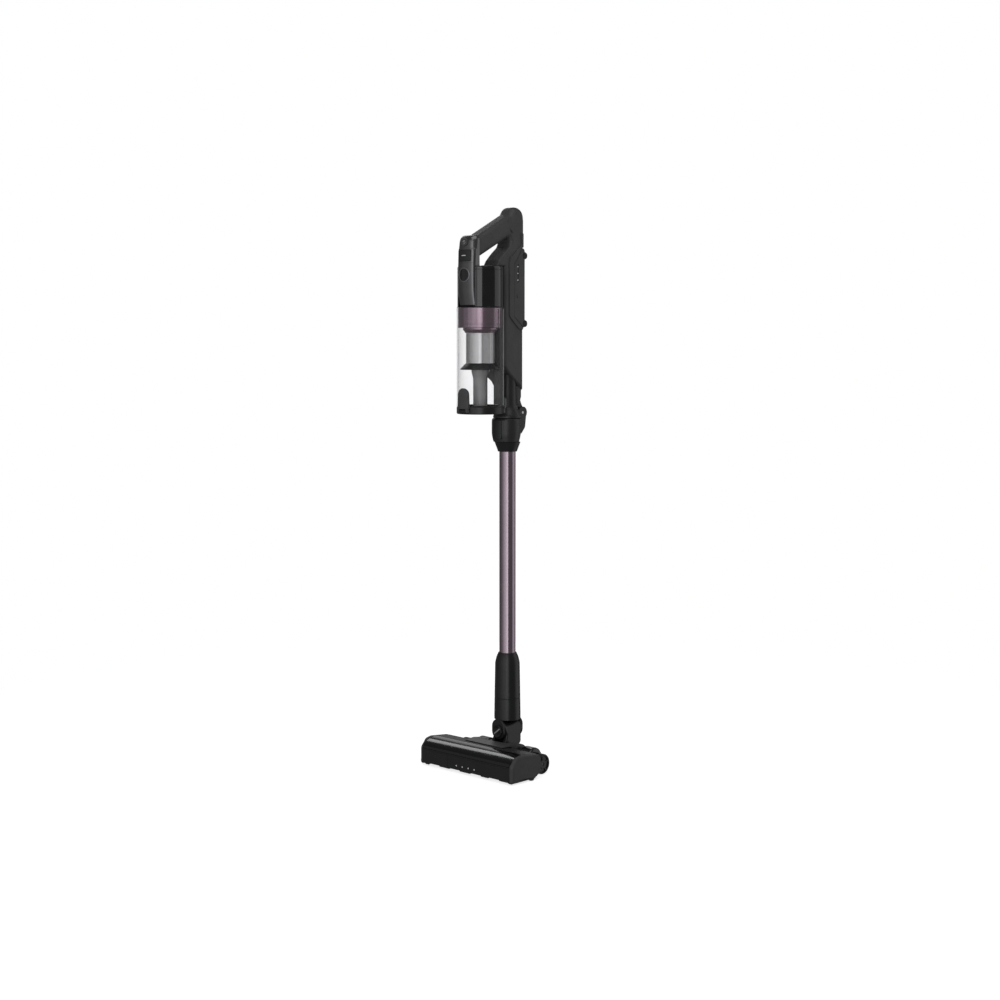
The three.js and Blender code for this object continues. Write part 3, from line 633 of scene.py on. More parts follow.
def slab(name: str, outline: Sequence[Point], axis: Axis, low: float, high: float, rim: float = 0,
         rim_steps: int = 5) -> bpy.types.Object:
    """Extrudes an outline and rounds the edges of its two ends.

    Args:
        name: The new object's name.
        outline: Points (y, z) along x, (x, z) along y, or (x, y) along z.
        axis: The way that it is extruded.
        low: Where it starts on that axis.
        high: Where it ends.
        rim: Radius of the rounding at both ends.
        rim_steps: Chords of the rounding.

    Returns:
        The closed object.
    """
    deselect_all()
    bpy.ops.mesh.primitive_circle_add(vertices=len(outline), radius=1, fill_type="NGON")
    piece = bpy.context.object
    piece.name = name
    flip = -1 if axis is Axis.Y else 1
    for vertex, (u, v) in zip(piece.data.vertices, outline):
        vertex.co = (u, v * flip, low)
    with editing(piece):
        bpy.ops.mesh.extrude_region_move(TRANSFORM_OT_translate={"value": (0, 0, high - low)})
        bpy.ops.mesh.select_all(action="SELECT")
        bpy.ops.mesh.normals_make_consistent(inside=False)
        if rim:
            pick_edges(piece, lambda a, b: abs(a.z - b.z) < TOUCHING)
            bpy.ops.mesh.bevel(offset=rim, segments=rim_steps, affect="EDGES", clamp_overlap=False)
    return placed(piece, axis, (0, 0, 0))


def box(name: str, low: Sequence[float], high: Sequence[float], rim: float = 0) -> bpy.types.Object:
    """A block between two corners, with every edge rounded by rim."""
    deselect_all()
    middle = [(a + b) / 2 for a, b in zip(low, high)]
    bpy.ops.mesh.primitive_cube_add(size=1, location=middle)
    piece = bpy.context.object
    piece.name = name
    piece.scale = [b - a for a, b in zip(low, high)]
    bpy.ops.object.transform_apply(location=True, rotation=True, scale=True)
    if rim:
        with editing(piece):
            bpy.ops.mesh.bevel(offset=rim, segments=3, affect="EDGES")
    return piece


def mirrored(piece: bpy.types.Object, name: str, axis: int = 0) -> bpy.types.Object:
    """A copy on the other side of the middle plane.

    Args:
        piece: What is copied.
        name: The copy's name.
        axis: 0 mirrors x and 1 mirrors y.

    Returns:
        The copy, with its faces pointing out.
    """
    twin = copied(piece, name)
    activate(twin)
    twin.scale[axis] = -1
    bpy.ops.object.transform_apply(location=True, rotation=True, scale=True)
    with editing(twin):
        bpy.ops.mesh.normals_make_consistent(inside=False)
    return twin


def combined(piece: bpy.types.Object, tools: Sequence[bpy.types.Object], how: str) -> bpy.types.Object:
    """Joins, cuts or trims a piece with others, which are used up.

    Args:
        piece: What is changed.
        tools: The other solids.
        how: UNION, DIFFERENCE or INTERSECT.

    Returns:
        The changed piece.
    """
    for tool in tools:
        activate(piece)
        step = piece.modifiers.new("step", "BOOLEAN")
        step.operation = how
        step.object = tool
        step.solver = "EXACT"
        bpy.ops.object.modifier_apply(modifier=step.name)
        bpy.data.objects.remove(tool)
    return piece


def cut(piece: bpy.types.Object, *tools: bpy.types.Object) -> bpy.types.Object:
    """The piece without its tools."""
    return combined(piece, tools, "DIFFERENCE")


def joined(piece: bpy.types.Object, *tools: bpy.types.Object) -> bpy.types.Object:
    """The piece and its tools as one solid."""
    return combined(piece, tools, "UNION")


def bar(name: str, axis: Axis, centre: Sequence[float], radius: float, low: float, high: float,
        soft: float = 0, segments: int = 64) -> bpy.types.Object:
    """A round bar with chamfered ends, from low to high along its axis."""
    if soft:
        ends = [(0, low), (radius - soft, low), (radius, low + soft), (radius, high - soft),
                (radius - soft, high), (0, high)]
    else:
        ends = [(0, low), (radius, low), (radius, high), (0, high)]
    return turned(name, ends, axis, centre, segments)


def bevelled(piece: bpy.types.Object, width: float, steps: int, limit: str,
             **settings: object) -> bpy.types.Object:
    """Runs a Bevel modifier with a width, chords, a limit method and other settings."""
    activate(piece)
    edge = piece.modifiers.new("edge", "BEVEL")
    edge.width = width
    edge.segments = steps
    edge.limit_method = limit
    for key, value in settings.items():
        setattr(edge, key, value)
    bpy.ops.object.modifier_apply(modifier=edge.name)
    return piece


def softened(piece: bpy.types.Object, width: float, steps: int = 2,
             angle: float = 32) -> bpy.types.Object:
    """Rounds a piece's sharp edges.

    Args:
        piece: What is rounded.
        width: Width of the rounding.
        steps: Its chords.
        angle: Edges flatter than this many degrees are left.

    Returns:
        The same piece.
    """
    return bevelled(piece, width, steps, "ANGLE", angle_limit=math.radians(angle))


def rolled(piece: bpy.types.Object, radius: Callable[[Vector], float], steps: int) -> bpy.types.Object:
    """Rounds the end edges of a slab along x, by a radius that may change from place to place.

    Args:
        piece: The slab.
        radius: Gives the radius at an edge's middle.
        steps: Chords of the rounding.

    Returns:
        The same piece.
    """
    mesh = piece.data
    radii = []
    for edge in mesh.edges:
        a, b = (mesh.vertices[k].co for k in edge.vertices)
        radii.append(radius((a + b) / 2) if abs(a.x - b.x) < LEVEL else 0)
    weights = mesh.attributes.new("bevel_weight_edge", "FLOAT", "EDGE")
    weights.data.foreach_set("value", [value / max(radii) for value in radii])
    return bevelled(piece, max(radii), steps, "WEIGHT", use_clamp_overlap=False)


def refined(node: str, name: str, width: float = 0.4, steps: int = 2) -> bpy.types.Object:
    """A merged copy of a frame node in millimetres, with its sharp edges rounded.

    Args:
        node: The frame's node.
        name: The copy's name.
        width: Width of the rounding; 0 leaves the edges.
        steps: Chords of the rounding.

    Returns:
        The copy.
    """
    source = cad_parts[node]
    piece = bpy.data.objects.new(name, source.data.copy())
    bpy.context.collection.objects.link(piece)
    moved(piece, Matrix.Scale(1 / MM, 4) @ Matrix.Translation((0, -WAND_Y * MM, 0)))
    with editing(piece):
        bpy.ops.mesh.customdata_custom_splitnormals_clear()
        bpy.ops.mesh.remove_doubles(threshold=FRAME_TOUCHING)
        bpy.ops.mesh.dissolve_limited(angle_limit=math.radians(NEARLY_FLAT))
    return softened(piece, width, steps) if width else piece


def fitted(piece: bpy.types.Object, finish: Finish, body: str, replaces: Sequence[str] = (),
           sharp: float = 34) -> bpy.types.Object:
    """Settles a finished piece into the frame, dresses it and lets it ride.

    Args:
        piece: The piece, in millimetres in the machine's frame.
        finish: Its finish.
        body: The frame body that it moves with.
        replaces: The frame nodes that it stands for.
        sharp: Edges steeper than this many degrees stay crisp.

    Returns:
        The piece.
    """
    piece.name = piece.name.replace(" ", "_")
    moved(piece, Matrix.Translation((0, WAND_Y * MM, 0)) @ Matrix.Scale(MM, 4))
    bpy.ops.object.shade_smooth_by_angle(angle=math.radians(sharp))
    weighted = piece.modifiers.new("normals", "WEIGHTED_NORMAL")
    weighted.keep_sharp = True
    piece.data.materials.clear()
    piece.data.materials.append(finish.material())
    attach(piece, body)
    if replaces:
        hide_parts(*replaces)
    log.info("%s rides on %s in %s", piece.name, body, finish.name)
    return piece


def fitted_pair(piece: bpy.types.Object, finish: Finish, body: str,
                replaces: Sequence[str] = ()) -> None:
    """Fits a right-hand piece and its mirror image, whose names and nodes say left instead."""
    twin = mirrored(piece, piece.name.replace("right", "left"))
    fitted(piece, finish, body, replaces)
    fitted(twin, finish, body, [node.replace("right", "left") for node in replaces])


def dressed(node: str, finish: Finish) -> None:
    """Gives a frame node that stays its finish."""
    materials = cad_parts[node].data.materials
    materials.clear()
    materials.append(finish.material())
    log.info("%s stays, in %s", node, finish.name)


# ---------------------------------------------------------------- sub-assemblies
@dataclass
class Wand:
    """The neck sleeve, the mauve tube and the socket with the fold hinge."""

    tube: float = 16.0
    roll_z: float = 70.0
    roll_half: float = 22.0
    ear: float = 16.5
    socket_y: float = -3.5
    socket: float = 28.5
    hinge: Point = (27.0, 697.0)

    def sleeve(self) -> None:
        """Tapered sleeve with a seam groove, a stepped top and two round ears."""
        profile = [(14.5, 91), (25, 91), (26, 92), (26, 101), (25.52, 133.2), (24.9, 133.7),
                   (24.9, 134.5), (25.5, 135), (24.35, 203), (23.5, 207.5), (21.5, 215.5),
                   (18.7, 221.6), (18.2, 223.4), (17.6, 224), (16.3, 224), (16.3, 120.7), (14.5, 120.7)]
        body = turned("neck sleeve", profile)
        low = self.roll_z - self.ear
        corners = [(-self.ear, low, self.ear - 0.5), (self.ear, low, self.ear - 0.5),
                   (self.ear, 93.5, 15), (-self.ear, 93.5, 15)]
        ear = slab("ear", filleted(corners, 14), Axis.Y, self.roll_half + 0.5, self.roll_half + 6.2, 2,
                   4)
        body = joined(body, mirrored(ear, "front ear", 1), ear)
        bore = bar("bore", Axis.Y, (0, 0, self.roll_z), 4.1, -40, 40)
        pocket = box("pocket", (-8.4, 20.4, 163), (8.4, 30, 191))
        fitted(softened(cut(body, bore, pocket), 0.3, 2, 40), BLACK, "wand", ["neck_sleeve"])
        button = refined("sleeve_button", "sleeve release", 0.7, 3)
        fitted(button, GRAPHITE, "sleeve_release", ["sleeve_button"])

    def tube_and_collar(self) -> None:
        """Thin-walled tube with rolled ends, and the cone under the socket."""
        r = self.tube
        wall = [(r - 1.2, 121), (r - 0.3, 121), (r, 121.3), (r, 663.7), (r - 0.3, 664), (r - 1.2, 664)]
        fitted(turned("wand tube", wall, segments=128), MAUVE_TUBE, "wand", ["wand_tube"])
        cone = [(16.3, 621), (18.3, 621), (19, 621.7), (19.2, 623), (25.0, 638.6), (25.3, 639.4),
                (24.8, 640), (16.3, 640)]
        fitted(turned("socket collar", cone), BLACK, "wand", ["socket_collar"])

    def socket_body(self) -> None:
        """Socket with its button pocket, air bore and the outer knuckles of the fold hinge."""
        r = self.socket
        profile = [(0, 640.3), (24.6, 640.3), (25.4, 641), (27.3, 649.5), (28.2, 654.5), (r, 659),
                   (r, 681), (28.1, 684), (27.2, 685.6), (26, 686.2), (0, 686.2)]
        body = turned("wand socket", profile, centre=(0, self.socket_y, 0))
        room = bar("room", Axis.X, (0, *self.hinge), 17.5, -9.8, 9.8)
        body = cut(body, room)
        corners = [(4, 684), (4, 662), (22, 655, 4), (33, 668, 8), (36, 690), (19, 705), (8, 684)]
        for side in (-1, 1):
            low, high = span(side, 10, 16.5)
            plate = slab("ear plate", filleted(corners), Axis.X, low, high)
            eye = bar("ear eye", Axis.X, (0, *self.hinge), 11.5, low, high)
            body = joined(body, joined(plate, eye))
        pocket = slab("pocket", oblong((-11.6, 646.5), (11.6, 683.5), 3), Axis.Y, -40, -24)
        bores = [bar("seat", Axis.Z, (0, 0, 0), 16.3, 630, 664.3),
                 bar("bore", Axis.Z, (0, 0, 0), 14.8, 660, 700),
                 bar("pin bore", Axis.X, (0, *self.hinge), 3.1, -20, 20)]
        fitted(softened(cut(body, pocket, *bores), 0.5, 3, 38), GRAPHITE, "wand", ["wand_socket"])
        fitted(bar("fold pin", Axis.X, (0, *self.hinge), 3, -16.3, 16.3, 0.4), STEEL, "wand",
               ["fold_pin"])

    def fold_button(self) -> None:
        """Curved push panel with three grip grooves."""
        plate = slab("fold button", oblong((-11.2, 647), (11.2, 683), 3), Axis.Y, -36, -27.5)
        r = self.socket
        barrel = turned("barrel", [(0, 640), (r + 0.3, 640), (r + 0.9, 656), (r + 1.1, 665),
                                   (r + 0.9, 674), (r + 0.3, 690), (0, 690)],
                        centre=(0, self.socket_y, 0), segments=160)
        panel = combined(plate, [barrel], "INTERSECT")
        grooves = [turned("groove", [(r + 0.5, z - 0.6), (r + 3, z - 0.6), (r + 3, z + 0.6),
                                     (r + 0.5, z + 0.6)], centre=(0, self.socket_y, 0)) for z in (654,
                                                                                                  657,
                                                                                                  660)]
        fitted(softened(cut(panel, *grooves), 0.35, 2, 40), BLACK, "fold_release", ["fold_button"])

    def build(self) -> None:
        """Builds the wand."""
        self.sleeve()
        self.tube_and_collar()
        self.socket_body()
        self.fold_button()


@dataclass
class Neck:
    """The elbow between the floor head and the wand, with its pins."""

    pitch: Point = (-20.0, 31.0)
    roll_z: float = 70.0
    half: float = 22.0
    bore: float = 4.1

    def elbow(self) -> None:
        """Two crossed barrels, a riser between them and the air duct."""
        barrel = bar("neck elbow", Axis.X, (0, *self.pitch), 18, -26, 26, 1.2, 96)
        corners = [(-37, 34), (-25, 26), (-2, 27, 6), (20, 44, 8), (20, 70), (-20, 70), (-22, 56, 6)]
        riser = slab("riser", filleted(corners), Axis.X, -19, 19, 3)
        head = bar("head", Axis.Y, (0, 0, self.roll_z), 19, -self.half, self.half, 1.2, 96)
        body = joined(barrel, riser, head)
        duct = slab("duct", filleted([(-46, 20), (-30, 20, 4), (10, 72), (10, 96), (-12, 96), (-12, 72),
                                      (-32, 42, 4), (-46, 42)]), Axis.X, -11.5, 11.5)
        bores = [bar("bore", Axis.Y, (0, 0, self.roll_z), self.bore, *ends) for ends in ((-30, -13),
                                                                                         (13, 30))]
        sides = [bar("side bore", Axis.X, (0, *self.pitch), self.bore, *ends) for ends in ((-30, -13),
                                                                                           (13, 30))]
        fitted(softened(cut(body, duct, *bores, *sides), 0.4, 2, 40), BLACK, "neck", ["neck_elbow"])

    def rib(self) -> bpy.types.Object:
        """Raised rib that crosses the front cap's dish, leaning; its pale grey is a painted highlight
        on the cap.
        """
        reach = self.half
        rib = box("front pin highlight rib", (-9.4, -reach - 9.3, -1.2), (9.4, -reach - 8.2, 1.2), 0.4)
        return leaning(rib, (0, 0, self.roll_z), math.radians(-38), "Y")

    def pins(self) -> None:
        """Front and rear pins, each with a dished round cap, and a pale rib that paints a highlight
        across the front cap.
        """
        reach = self.half
        profile = [(0, reach - 8.5), (4, reach - 8.5), (4, reach + 6.7), (11.2, reach + 6.7),
                   (12.3, reach + 7.4), (12.5, reach + 8.2), (12.2, reach + 9.0), (11.4, reach + 9.5),
                   (10.6, reach + 9.3), (9.6, reach + 8.7), (5.5, reach + 8.35), (5.2, reach + 8.8),
                   (0, reach + 8.9)]
        rear = turned("rear roll pin", profile, Axis.Y, (0, 0, self.roll_z))
        front = mirrored(rear, "front roll pin", 1)
        fitted(rear, BLACK, "neck", ["roll_pin_rear"], 28)
        fitted(front, BLACK, "neck", ["roll_pin_front"], 28)
        # The rib's pale grey is a painted highlight across the front cap's dish.
        fitted(self.rib(), GREY, "neck")

    def build(self) -> None:
        """Builds the neck."""
        self.elbow()
        self.pins()


@dataclass
class FloorHead:
    """The wide head with its brush, window, lights, wheels and drive."""

    half: float = 116.7
    front: float = -121.0
    rear: float = -42.0
    top: float = 52.6
    lights: tuple[float, ...] = (-24, -8, 8, 24)
    light_z: float = 14.0
    wheel: Point = (-13.0, 19.5)
    webs: int = 5
    pitch: Point = (-20.0, 31.0)

    def tray(self) -> None:
        """Floor tray and the felt strip under it."""
        fitted(refined("head_base", "head tray", 0.5), BLACK, "floor_head", ["head_base"])
        fitted(refined("floor_seal", "felt strip", 0.6, 3), FELT, "floor_head", ["floor_seal"])

    def deck(self) -> None:
        """Rear deck with a shallow panel line across it."""
        low = [(self.rear, 30.3), (self.rear - 2.8, 30.3), (self.rear - 3.8, self.top - 8),
               (-83.6, self.top - 2.8)]
        section = filleted([(-83.6, self.top), (self.rear - 1, self.top - 5, 4), *low], 8)
        panel = slab("head deck", section, Axis.X, -self.half, self.half)
        outlet = bar("outlet", Axis.Y, (0, 0, self.pitch[1]), 12, self.rear - 6, self.rear + 2)
        groove = box("groove", (-self.half - 1, -79.6, self.top - 1.0),
                     (self.half + 1, -78.6, self.top + 2))
        fitted(softened(cut(panel, outlet, groove), 0.35, 2, 40), GRAPHITE, "floor_head", ["head_deck"])

    def window(self) -> None:
        """Curved smoked window."""
        outer = arc(-84, 34.4, 36.8, 18.2, 180, 90, 28)
        inner = arc(-84, 34.4, 34.2, 15.8, 90, 180, 28)
        pane = slab("brush window", outer + inner, Axis.X, -self.half, self.half)
        fitted(softened(pane, 0.4, 2, 50), SMOKED, "floor_head", ["brush_window"])

    def bumper(self) -> None:
        """Front strip with light holes, roller notches, a seam, a lip line and a scalloped edge."""
        f, h = self.front, self.half
        strip = slab("head bumper", oblong((-h, 4.5), (h, 34), 2), Axis.Y, f, f + 5)
        holes = [bar("hole", Axis.Y, (x, 0, self.light_z), 2.3, f - 2, f + 7,
                     segments=32) for x in self.lights]
        notches = [box("notch", (x - 4.5, f + 3.2, 0), (x + 4.5, -104, 13.5)) for x in (-111.5, 111.5)]
        scallops = [slab("scallop", filleted([(x - 17, 0), (x + 17, 0), (x + 13, 7.5, 3),
                                              (x - 13, 7.5, 3)]), Axis.Y, f - 1, f + 6) for x in (-84,
                                                                                                  -28,
                                                                                                  28,
                                                                                                  76)]
        seam = box("seam", (-48.3, f - 1, 0), (-47.7, f + 0.7, 31))
        lip = box("lip", (-h - 1, f - 1, 31.2), (h + 1, f + 0.6, 31.9))
        strip = cut(strip, *holes, *notches, *scallops, seam, lip)
        fitted(softened(strip, 0.45, 3, 40), BLACK, "floor_head", ["head_bumper"])

    def light_bar(self) -> None:
        """Light guide with four domed lenses."""
        guide = box("light guide", (-30, self.front + 5.4, 10.5), (30, self.front + 8, 17.5), 0.5)
        f = self.front
        lens = [(0, f + 6), (1.7, f + 6), (1.7, f + 1.2), (1.5, f + 0.7), (1.0, f + 0.4), (0, f + 0.3)]
        lenses = [turned("lens", lens[::-1], Axis.Y, (x, 0, self.light_z), 32) for x in self.lights]
        fitted(joined(guide, *lenses), LIGHT, "floor_head", ["led_bar"])

    def cap_rim(self, place: Vector) -> float:
        """Radius of an end cap's outer edge at a place: large at the front corner."""
        if place.x < 120:
            return 0
        return 2.2 + 5 * min(max((-100 - place.y) / 14, 0), 1)

    def end_caps(self) -> None:
        """Side caps with softly rounded edges, each with a foot."""
        f, top = self.front, self.top
        outline = filleted([(f, 3, 3), (f, 36, 12), (-108, 50.5, 14), (-92, top + 0.4, 30),
                            (-46, top - 4.6, 5), (-40, 40, 6), (-40, 13, 5), (-58, 3, 6)], 10)
        cap = rolled(slab("right end cap", outline, Axis.X, 117, 125), self.cap_rim, 7)
        foot = slab("foot", filleted([(-70, 4), (-67, 0, 1), (-60, 0, 1), (-57, 4)]), Axis.X, 118.5,
                    123.5)
        fitted_pair(joined(cap, foot), MATT, "floor_head", ["end_cap_right"])

    def cradle(self) -> None:
        """Cheeks, floor and sloping cover that hold the elbow, with a disc on each cheek."""
        fitted(refined("pivot_cradle", "pivot cradle", 1.0, 3), SMOKE_GREY, "floor_head",
               ["pivot_cradle"])
        profile = [(0, 52.0), (15.5, 52.0), (16.4, 52.3), (16.4, 52.9), (15.2, 53.2), (14.4, 52.7),
                   (0, 52.7)]
        disc = turned("right cheek disc", profile, Axis.X, (0, *self.pitch))
        fitted_pair(disc, GRAPHITE, "floor_head")

    def pod(self) -> None:
        """Round pod with the right wheel's axle."""
        y, z = -19.0, 29.5
        dome = turned("control pod", [(0, 62), (15.5, 62), (18.6, 63.2), (20.2, 65.6), (20.5, 68),
                                      (20.5, 86), (20.2, 88.6), (18.6, 90.8), (15.5, 92), (0, 92)],
                      Axis.X, (0, y, z))
        foot = box("foot", (62.4, self.rear + 0.3, 10), (91.6, y, 40), 1)
        stub = bar("stub", Axis.X, (0, *self.wheel), 2.8, 90, 105, 0.5)
        body = softened(joined(dome, foot, stub), 0.4, 2, 45)
        fitted(body, GLOSS, "floor_head", ["control_pod"])

    def wheels(self) -> None:
        """Rear wheels with a soft tread ring and five webs, and the front rollers."""
        r = self.wheel[1]
        hub = [(3.2, 94), (17.6, 94), (18.2, 94.6), (18.2, 105.4), (17.6, 106), (16.4, 106),
               (15.4, 103.4), (9.2, 103.4), (8.2, 106), (3.2, 106)]
        hub_piece = turned("right wheel", hub, Axis.X, (0, *self.wheel))
        webs = [box("web", (103.0, -1.1, 8), (105.2, 1.1, 16)) for _ in range(self.webs)]
        for k, web in enumerate(webs):
            leaning(web, (0, *self.wheel), math.tau * k / self.webs, "X")
        hub_piece = softened(joined(hub_piece, *webs), 0.25, 2, 40)
        tread = [(18.25, 94.4), (r - 0.6, 94.4), (r, 95.2)]
        for k in range(4):
            x = 96.2 + 2.3 * k
            tread += [(r, x), (r - 0.5, x + 0.3), (r - 0.5, x + 0.7), (r, x + 1)]
        tread += [(r, 104.8), (r - 0.6, 105.6), (18.25, 105.6)]
        tyre = turned("right tyre", tread, Axis.X, (0, *self.wheel))
        roller = turned("right roller", [(0, 108), (5.2, 108), (6, 108.8), (6, 114.2), (5.2, 115),
                                         (0, 115)], Axis.X, (0, -111, 6), 48)
        twins = [mirrored(part, part.name.replace("right", "left")) for part in (hub_piece, tyre,
                                                                                 roller)]
        for side, (hub_part, tyre_part, roller_part) in (("right", (hub_piece, tyre, roller)),
                                                         ("left", twins)):
            fitted(hub_part, BLACK, f"{side}_wheel", [f"wheel_{side}"])
            fitted(tyre_part, RUBBER, f"{side}_wheel")
            fitted(roller_part, RUBBER, f"{side}_roller", [f"roller_{side}"])

    def brush(self) -> None:
        """Brush core with twisted rows of bristle."""
        fitted(refined("brush_roll", "brush", 0), BRISTLE, "brush", ["brush_roll"], 50)

    def drive(self) -> None:
        """Pieces inside the head keep the frame's shapes."""
        for node, finish in (("brush_motor", STEEL), ("motor_pulley", STEEL), ("drive_belt", RUBBER),
                             ("brush_pulley", GREY), ("pitch_pin_right", STEEL),
                             ("pitch_pin_left", STEEL)):
            dressed(node, finish)

    def build(self) -> None:
        """Builds the floor head."""
        for step in (self.tray, self.deck, self.window, self.bumper, self.light_bar, self.end_caps,
                     self.cradle, self.pod, self.wheels, self.brush, self.drive):
            step()


@dataclass
class DustCup:
    """The clear cup, the separator in it, and its lid."""

    y: float = -77.0
    radius: float = 45.6
    low: float = 711.5
    high: float = 900.8
    lid_pin: Point = (-124.2, 703.0)

    def ring(self, name: str, profile: Sequence[Point], finish: Finish, node: str,
             segments: int = 128) -> None:
        """A turned part of the separator that stands for a frame node."""
        fitted(turned(name, profile, centre=(0, self.y, 0), segments=segments), finish, "cup", [node])

    def wall(self) -> None:
        """Clear wall with a thicker lip at each end, and two upright rails on its outside; the second
        rail's pale grey is a painted highlight along the cup's right edge.
        """
        r, low, high = self.radius, self.low, self.high
        profile = [(r - 2.3, low + 0.4), (r - 1.9, low), (r - 0.5, low), (r, low + 0.5), (r, low + 5),
                   (r - 0.35, low + 5.6), (r - 0.35, high - 6.6), (r, high - 6), (r, high - 0.5),
                   (r - 0.5, high), (r - 1.9, high), (r - 2.3, high - 0.4)]
        self.ring("clear cup", profile, CLEAR, "dust_cup", 160)
        for k, turn in enumerate((12, 28)):
            rail = box("rail", (r - 0.4, -0.9, low + 3), (r + 1.1, 0.9, high - 3), 0.4)
            leaning(rail, (0, self.y, 0), math.radians(turn), "Z")
            rail.name = f"cup rail {k + 1}"
            # The second rail's pale grey is a painted highlight along the cup's right edge.
            fitted(rail, (SMOKE_GREY, RAIL_HIGHLIGHT)[k], "cup")

    def separator(self) -> None:
        """Band, flange, punched screen, skirt, fine dust tube and inlet."""
        r = self.radius - 2.7
        self.ring("mauve band", [(31, 862), (r - 0.6, 862), (r, 862.6), (r, 868), (r - 0.5, 868.4),
                                 (r - 0.5, 869), (r, 869.4), (r, 899.8), (r - 0.6, 900.4),
                                 (r - 2.5, 900.4), (r - 2.5, 864.5), (31, 864.5)], MAUVE_PAINT,
                  "cyclone_band")
        self.ring("mauve flange", [(24, 852.3), (29, 852.3), (29.6, 852.8), (30.2, 855), (33.2, 858),
                                   (33.5, 859), (33.5, 861.7), (24, 861.7)], MAUVE_PAINT,
                  "cyclone_flange")
        self.ring("punched screen", [(26.3, 794.3), (27.5, 794.3), (27.5, 852), (26.3, 852)], SCREEN,
                  "mesh_screen", 160)
        self.ring("dust skirt", [(26, 794), (28, 794), (30, 792.4), (38.1, 784), (38.6, 783.2),
                                 (38.6, 782.2), (38.2, 781.8), (36.8, 781.8), (26, 791.4)], BLACK,
                  "cyclone_skirt")
        self.ring("fine dust tube", [(12, 711.8), (13.8, 711.8), (13.8, 764), (14.3, 767), (16.8, 777),
                                     (17.2, 780.5), (17.2, 791), (15.4, 791), (15.4, 780.6),
                                     (12, 766.6)], GREY, "fine_dust_tube")
        fitted(refined("cup_inlet", "cup inlet", 0.6, 3), MATT, "cup", ["cup_inlet"])

    def lid(self) -> None:
        """Bottom lid with its hinge eye, seal, tongue, pin and catch."""
        y, z = self.lid_pin
        r = self.radius
        dish = turned("cup lid", [(0, 698.5), (20, 698.0), (32, 697.2), (43.2, 697), (44.8, 697.5),
                                  (r, 698.8), (r, 710.4), (r - 0.6, 711), (40, 711), (38, 701.5),
                                  (0, 701.5)], centre=(0, self.y, 0), segments=128)
        eye = joined(bar("eye", Axis.X, (0, y, z), 3.3, -8.6, 8.6),
                     box("web", (-8.6, y, z - 3), (8.6, -119, z + 3)))
        body = joined(dish, eye)
        rooms = [box("room", (low, -130, 690), (high, -119.6, 720))
                 for low, high in (span(-1, 8.7, 14.3), span(1, 8.7, 14.3))]
        notch = box("notch", (-7, 44.2, 690), (7, 60, 712))
        leaning(notch, (0, self.y, 0), -math.pi / 4, "Z")
        body = cut(body, *rooms, notch, bar("pin bore", Axis.X, (0, y, z), 1.7, -20, 20, segments=32))
        fitted(softened(body, 0.4, 2, 40), BLACK, "lid", ["bin_lid"])
        seal = [(38.6, 711.3), (42.3, 711.3), (42.5, 712.2), (42.2, 713), (42.4, 713.7), (42, 714),
                (38.6, 714)]
        fitted(turned("lid seal", seal, centre=(0, self.y, 0)), RUBBER, "lid", ["lid_seal"])
        fitted(refined("hinge_bracket", "lid tongue", 0.6, 3), SMOKE_GREY, "cup", ["hinge_bracket"])
        fitted(bar("lid pin", Axis.X, (0, y, z), 1.6, -13.8, 13.8, 0.2, 32), STEEL, "cup", ["lid_pin"])
        fitted(refined("bin_release", "lid catch", 0.6, 3), SMOKE_GREY, "lid_release", ["bin_release"])

    def build(self) -> None:
        """Builds the dust cup."""
        self.wall()
        self.separator()
        self.lid()


